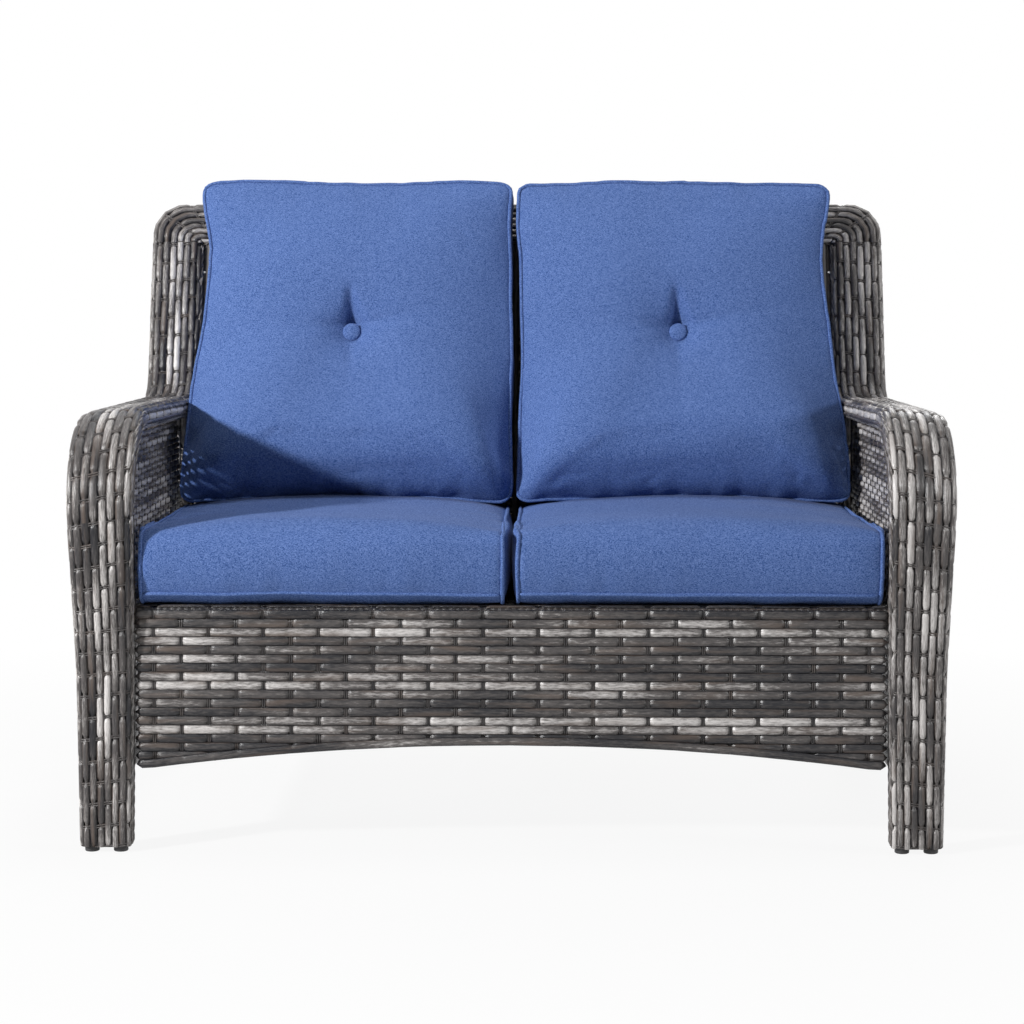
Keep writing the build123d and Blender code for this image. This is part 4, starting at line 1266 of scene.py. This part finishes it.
class LOVESEAT_OT_seat_cushions(bpy.types.Operator):
    """Sew and fill the two seat cushions"""

    bl_idname = "loveseat.seat_cushions"
    bl_label = "Seat Cushions"

    def execute(self, context):
        cushion = context.scene.loveseat_cushion
        bulge = cushion.side_bulge
        near = cushion.half_split + bulge + 0.0005
        far = cushion.seat_outer - bulge - 0.0005
        side_panel = ((0.046, 1.0), (0.030, 0.86), (0.016, 0.60), (0.006, 0.26))
        for side, word in SIDES:
            outlines = [
                seat_loop(side * (near - bulge * push), inset) for inset, push in side_panel
            ]
            for step in range(15):
                share = 0.5 - 0.5 * math.cos(math.pi * step / 14)
                x = side * (near + (far - near) * share)
                outlines.append(seat_loop(x, 0.0, crowned(share)))
            outlines += [
                seat_loop(side * (far + bulge * push), inset)
                for inset, push in reversed(side_panel)
            ]
            piece = closed_form(f"{word}_seat_cushion", outlines)
            seams = [
                dense(seat_loop(side * near)), dense(seat_loop(side * far)),
                cross_seam(side, near, far, True), cross_seam(side, near, far, False),
            ]
            swell_cloth(piece, seams, reach=0.0045, pressure=2.0, cap=0.006)
            gather(piece, seams, side)
            finish_cushion(
                piece, side, word, "seat", seams, closed=(True, True, False, False),
                waver=0.0012,
            )
        return {"FINISHED"}


def crowned(share):
    """Share of a seat cushion's crown at a share of its width."""
    return math.sin(math.pi * share) ** 0.45


def cross_seam(side, near, far, front):
    """Seam across a seat cushion, along its lower front edge or its upper rear edge."""
    cushion = bpy.context.scene.loveseat_cushion
    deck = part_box("right_seat_cushion_cover")[0][2]
    points = []
    for step in range(121):
        share = step / 120
        x = side * (near + (far - near) * share)
        if front:
            spot = Vector((x, cushion.seat_front + 0.0075, deck + cushion.seam_rise))
            points.append(relaxed(spot, 0.0030))
        else:
            loop = seat_loop(x, 0.0, crowned(share))
            points.append(max(loop, key=lambda point: point.y + point.z))
    return smoothed(points, 4)


def wander(points, reach, seed):
    """The same seam with the slight waver of a sewn line."""
    fresh = []
    for point in points:
        sway = noise.noise_vector((point.x * 11 + seed * 3.1, point.y * 11, point.z * 11))
        fresh.append(point + sway * reach)
    return fresh


def snug(piece, lines):
    """Seam lines drawn close to a cushion's skin, so that the piping never leaves it."""
    mesh = bmesh.new()
    mesh.from_mesh(piece.data)
    skin = BVHTree.FromBMesh(mesh)
    mesh.free()
    moved = []
    for line in lines:
        fresh = []
        for point in line:
            place = skin.find_nearest(point)[0]
            gap = point - place
            fresh.append(place + gap.normalized() * min(gap.length, PIPING_REACH))
        moved.append(fresh)
    return moved


def gather(piece, seams, seed, low=0.0):
    """Soft puckers that run away from the seams and fade into the panels. Below the height low
    they are deeper."""
    tree = seam_tree(seams)
    normals = [vertex.normal.copy() for vertex in piece.data.vertices]
    for vertex, normal in zip(piece.data.vertices, normals):
        seam, _, distance = tree.find(vertex.co)
        fold = noise.noise((seam.x * 34, seam.y * 34 + seed * 9.0, seam.z * 34))
        fade = math.exp(-distance / 0.032) * min(1.0, distance / 0.006)
        slow = noise.noise((vertex.co.x * 9, vertex.co.y * 9 + seed * 5.0, vertex.co.z * 9))
        deep = 0.0052 if vertex.co.z < low else 0.0026
        vertex.co += normal * (deep * fold * fade + 0.0020 * slow * min(1.0, distance / 0.020))


class LOVESEAT_OT_back_cushions(bpy.types.Operator):
    """Sew, fill and tuft the two back cushions"""

    bl_idname = "loveseat.back_cushions"
    bl_label = "Back Cushions"

    def execute(self, context):
        crown = context.scene.loveseat_cushion.back_crown
        for side, word in SIDES:
            rings = [
                cushion_ring(side, 0.0, inset, -0.003) for inset in (0.090, 0.050, 0.022, 0.007)
            ]
            for depth in (0.0, 0.2, 0.4, 0.6, 0.8, 1.0):
                boxing = -0.0032 * math.sin(math.pi * depth)
                rings.append(cushion_ring(side, depth, boxing, 0.0))
            for inset in (0.004, 0.010, 0.018, 0.028, 0.042, 0.060, 0.082, 0.108, 0.138, 0.175):
                rings.append(cushion_ring(side, 1.0, inset, crown))
            piece = closed_form(f"{word}_back_cushion", rings)
            seams = [dense(cushion_ring(side, depth, 0.0, 0.0)) for depth in (1.0, 0.0)]
            tuft = sum((Vector(corner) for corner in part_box(f"{word}_tuft_button")), Vector()) / 2
            swell_cloth(piece, seams, reach=0.0065, pressure=3.0, cap=0.003)
            gather(piece, seams, side + 3, low=min(point.z for point in seams[0]) + 0.11)
            refine(piece, tuft, reach=0.075)
            dimple(piece, tuft)
            finish_cushion(
                piece, side, word, "back", seams, closed=(True, True), waver=0.0010
            )
            button(word, tuft)
        return {"FINISHED"}


def eased(share):
    """A share from 0 to 1 with soft ends."""
    share = limited(share)
    return share * share * (3 - 2 * share)


def cushion_ring(side, depth, inset, crown):
    """Ring round a back cushion: depth runs from its rear seam, 0, to its front seam, 1, and an
    inset ring stands out by its part of the crown, more steeply near the base."""
    cushion = bpy.context.scene.loveseat_cushion
    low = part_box("right_back_cushion_cover")[0][2] + 0.0020
    inner = cushion.half_split + 0.0036
    outer = cushion.back_outer - 0.0035
    half_x = (outer - inner) / 2
    half_y = 0.23
    points = [Vector((-half_x, 0, 0))]
    corners = [
        Vector((x, y, 0))
        for x, y in ((-half_x, -half_y), (half_x, -half_y), (half_x, half_y), (-half_x, half_y))
    ]
    for index, corner in enumerate(corners):
        radius = 0.013 + 0.75 * max(0.0, inset)
        points += bend(corners[index - 1], corner, corners[(index + 1) % 4], radius, 6)
    ring = []
    for point in evened(points, 128):
        sideways = point.x / half_x * (half_x - inset) / half_x
        upright = point.y / half_y * (half_y - inset) / half_y
        share = 0.5 + upright / 2
        drawn = cushion.back_draw * eased(share / 0.8)
        drawn -= cushion.back_flare * eased((share - 0.8) / 0.2)
        across = inner + (outer - drawn - inner) * (0.5 + sideways / 2)
        across += 0.004 * (1 - upright**2) * max(0.0, -sideways) ** 6
        base = cushion.base_depth * 0.94 / math.cos(BACK_LEAN)
        thick = (base * (1 - share) + cushion.top_depth * 0.94 * share) * depth
        low_part = 1 - eased(share * 1.8)
        span = 0.205 - 0.130 * low_part
        risen = 1 - (1 - limited(inset / span)) ** (1.9 + 0.4 * low_part)
        reach = 0.0215 + thick
        hang = low - 0.009 * sideways**2
        foot = (hang - BACK_FOOT.z - reach * BACK_FORWARD.z) / BACK_UP.z
        top = cushion.back_top - 0.003 * sideways**2
        forward = crown * risen * (1.14 - 0.30 * share + 0.40 * low_part)
        spot = on_back(side * across, foot + (top - foot) * share, reach + forward)
        ring.append(relaxed(spot, 0.0045))
    return ring


def refine(piece, centre, reach):
    """Splits the faces round the button, so that its creases can be fine."""
    mesh = bmesh.new()
    mesh.from_mesh(piece.data)
    edges = [
        edge for edge in mesh.edges
        if all(
            (vert.co - centre).length < reach and (vert.co - centre).dot(BACK_FORWARD) > -0.02
            for vert in edge.verts
        )
    ]
    bmesh.ops.subdivide_edges(mesh, edges=edges, cuts=1, use_grid_fill=True)
    mesh.to_mesh(piece.data)
    mesh.free()


def dimple(piece, tuft):
    """Pulls the cushion's face in round the button, with a deep pleat above it and soft ones on
    its other sides."""
    for vertex in piece.data.vertices:
        offset = vertex.co - tuft
        out = offset.dot(BACK_FORWARD)
        if out < -0.030:
            continue
        rise = offset.dot(BACK_UP)
        across = offset.x
        reach = max(0.0, math.hypot(across, rise) - 0.0125)
        pull = 0.76 * math.exp(-((reach / 0.095) ** 1.15))
        pull += 0.24 * math.exp(-((reach / 0.017) ** 1.3))
        over = max(0.0, rise)
        below = max(0.0, -rise)
        pleat_width = max(0.0045, 0.0155 - 0.140 * over)
        pleat = math.exp(-(((across - 0.004 + 0.10 * rise) / pleat_width) ** 2))
        pleat *= max(0.0, 1 - over / 0.082) * eased((over - 0.006) / 0.010)
        tail = math.exp(-((across / 0.0095) ** 2)) * math.exp(-below / 0.032) * (below > 0)
        bent = rise - 0.006 - 0.18 * max(0.0, across)
        flank = math.exp(-((bent / (0.006 + 0.10 * abs(across))) ** 2))
        flank *= math.exp(-abs(across) / 0.050)
        move = (-0.0015 - out) * pull
        move -= 0.0220 * pleat + (0.0220 * tail + 0.0170 * flank) * (1 - pull)
        vertex.co += BACK_FORWARD * move


def button(word, tuft):
    """Covered button with a domed face and a rolled rim."""
    radius = bpy.context.scene.loveseat_cushion.button / 2
    mesh = new_mesh()
    bmesh.ops.create_uvsphere(mesh, u_segments=32, v_segments=16, radius=radius)
    for vert in mesh.verts:
        height = vert.co.z / radius
        vert.co.z = radius * (0.36 * height**0.8 if height > 0 else 0.22 * height)
    turn = BACK_FORWARD.to_track_quat("Z", "Y").to_matrix()
    bmesh.ops.rotate(mesh, cent=(0, 0, 0), matrix=turn, verts=mesh.verts)
    bmesh.ops.translate(mesh, vec=tuft - BACK_FORWARD * 0.001, verts=mesh.verts)
    piece = add_object(mesh, f"{word}_button", canvas_material())
    tie_piece(piece, f"{word}_back_cushion", (f"{word}_tuft_button",))


# Name, place, size and power of each lamp, and the height in the loveseat's middle it aims at.
LAMPS = (
    ("key", (-3.47, -2.52, 1.95), 0.34, 234, 0.6),
    ("fill", (4.1, -1.3, 1.6), 0.8, 52, 0.6),
    ("top", (0.0, 0.1, 3.0), 1.2, 24, 0.5),
    ("rear", (0.8, 3.2, 2.8), 1.6, 45, 0.5),
)


class LOVESEAT_OT_stage(bpy.types.Operator):
    """Set up the floor, the soft lamps and the camera"""

    bl_idname = "loveseat.stage"
    bl_label = "Stage"

    def execute(self, context):
        scene = context.scene
        stage = scene.loveseat_stage
        mesh = bmesh.new()
        bmesh.ops.create_grid(mesh, x_segments=1, y_segments=1, size=30)
        add_object(mesh, "floor", floor_finish(stage.floor))
        scene.world = bpy.data.worlds.new("studio")
        scene.world.use_nodes = True
        sky = Nodes(scene.world.node_tree)
        fill = sky.tree.nodes["Background"]
        fill.inputs["Color"].default_value = (1, 1, 1, 1)
        fill.inputs["Strength"].default_value = 0.10
        seen = sky.add("Background", None, {"Color": (1, 1, 1, 1), "Strength": 1.0})
        sky.blend(
            sky.white_rays(), fill.outputs["Background"], seen.outputs["Background"],
            "World Output",
        )
        for name, place, size, power, height in LAMPS:
            light = bpy.data.lights.new(name, "AREA")
            light.shape = "DISK"
            light.size = size
            light.energy = power
            holder = bpy.data.objects.new(name, light)
            scene.collection.objects.link(holder)
            holder.location = place
            aim = Vector((0, 0, height)) - Vector(place)
            holder.rotation_euler = aim.to_track_quat("-Z", "Y").to_euler()
        camera = bpy.data.cameras.new("camera")
        camera.lens = stage.lens
        camera.sensor_width = 36
        camera.clip_end = 100
        eye = bpy.data.objects.new("camera", camera)
        scene.collection.objects.link(eye)
        eye.location = stage.camera_place
        eye.rotation_euler = (math.pi / 2 - stage.camera_pitch, 0, stage.camera_yaw)
        scene.camera = eye
        scene.view_settings.view_transform = "Standard"
        return {"FINISHED"}


class LOVESEAT_PT_panel(bpy.types.Panel):
    """Lists the sizes and the pieces of the loveseat"""

    bl_idname = "LOVESEAT_PT_panel"
    bl_label = "Wicker Loveseat"
    bl_space_type = "VIEW_3D"
    bl_region_type = "UI"
    bl_category = "Loveseat"

    def draw(self, context):
        for name in GROUPS:
            group = getattr(context.scene, name)
            box = self.layout.box()
            for size in group.__annotations__:
                box.prop(group, size)
        for piece in PIECES:
            self.layout.operator(piece.bl_idname)


PIECES = (
    LOVESEAT_OT_bands,
    LOVESEAT_OT_apron,
    LOVESEAT_OT_side_panels,
    LOVESEAT_OT_back_panel,
    LOVESEAT_OT_hardware,
    LOVESEAT_OT_seat_cushions,
    LOVESEAT_OT_back_cushions,
    LOVESEAT_OT_stage,
)
GROUPS = {
    "loveseat_frame": FrameSizes,
    "loveseat_wicker": WickerSizes,
    "loveseat_cushion": CushionSizes,
    "loveseat_stage": StageSizes,
}


def register():
    for group in GROUPS.values():
        bpy.utils.register_class(group)
    for name, group in GROUPS.items():
        setattr(bpy.types.Scene, name, bpy.props.PointerProperty(type=group))
    for piece in (*PIECES, LOVESEAT_PT_panel):
        bpy.utils.register_class(piece)


def unregister():
    for piece in (LOVESEAT_PT_panel, *reversed(PIECES)):
        bpy.utils.unregister_class(piece)
    for name, group in GROUPS.items():
        delattr(bpy.types.Scene, name)
        bpy.utils.unregister_class(group)


def main():
    register()
    bpy.ops.loveseat.bands()
    bpy.ops.loveseat.apron()
    bpy.ops.loveseat.side_panels()
    bpy.ops.loveseat.back_panel()
    bpy.ops.loveseat.hardware()
    bpy.ops.loveseat.seat_cushions()
    bpy.ops.loveseat.back_cushions()
    bpy.ops.loveseat.stage()
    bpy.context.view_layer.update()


if __name__ == "__main__":
    main()
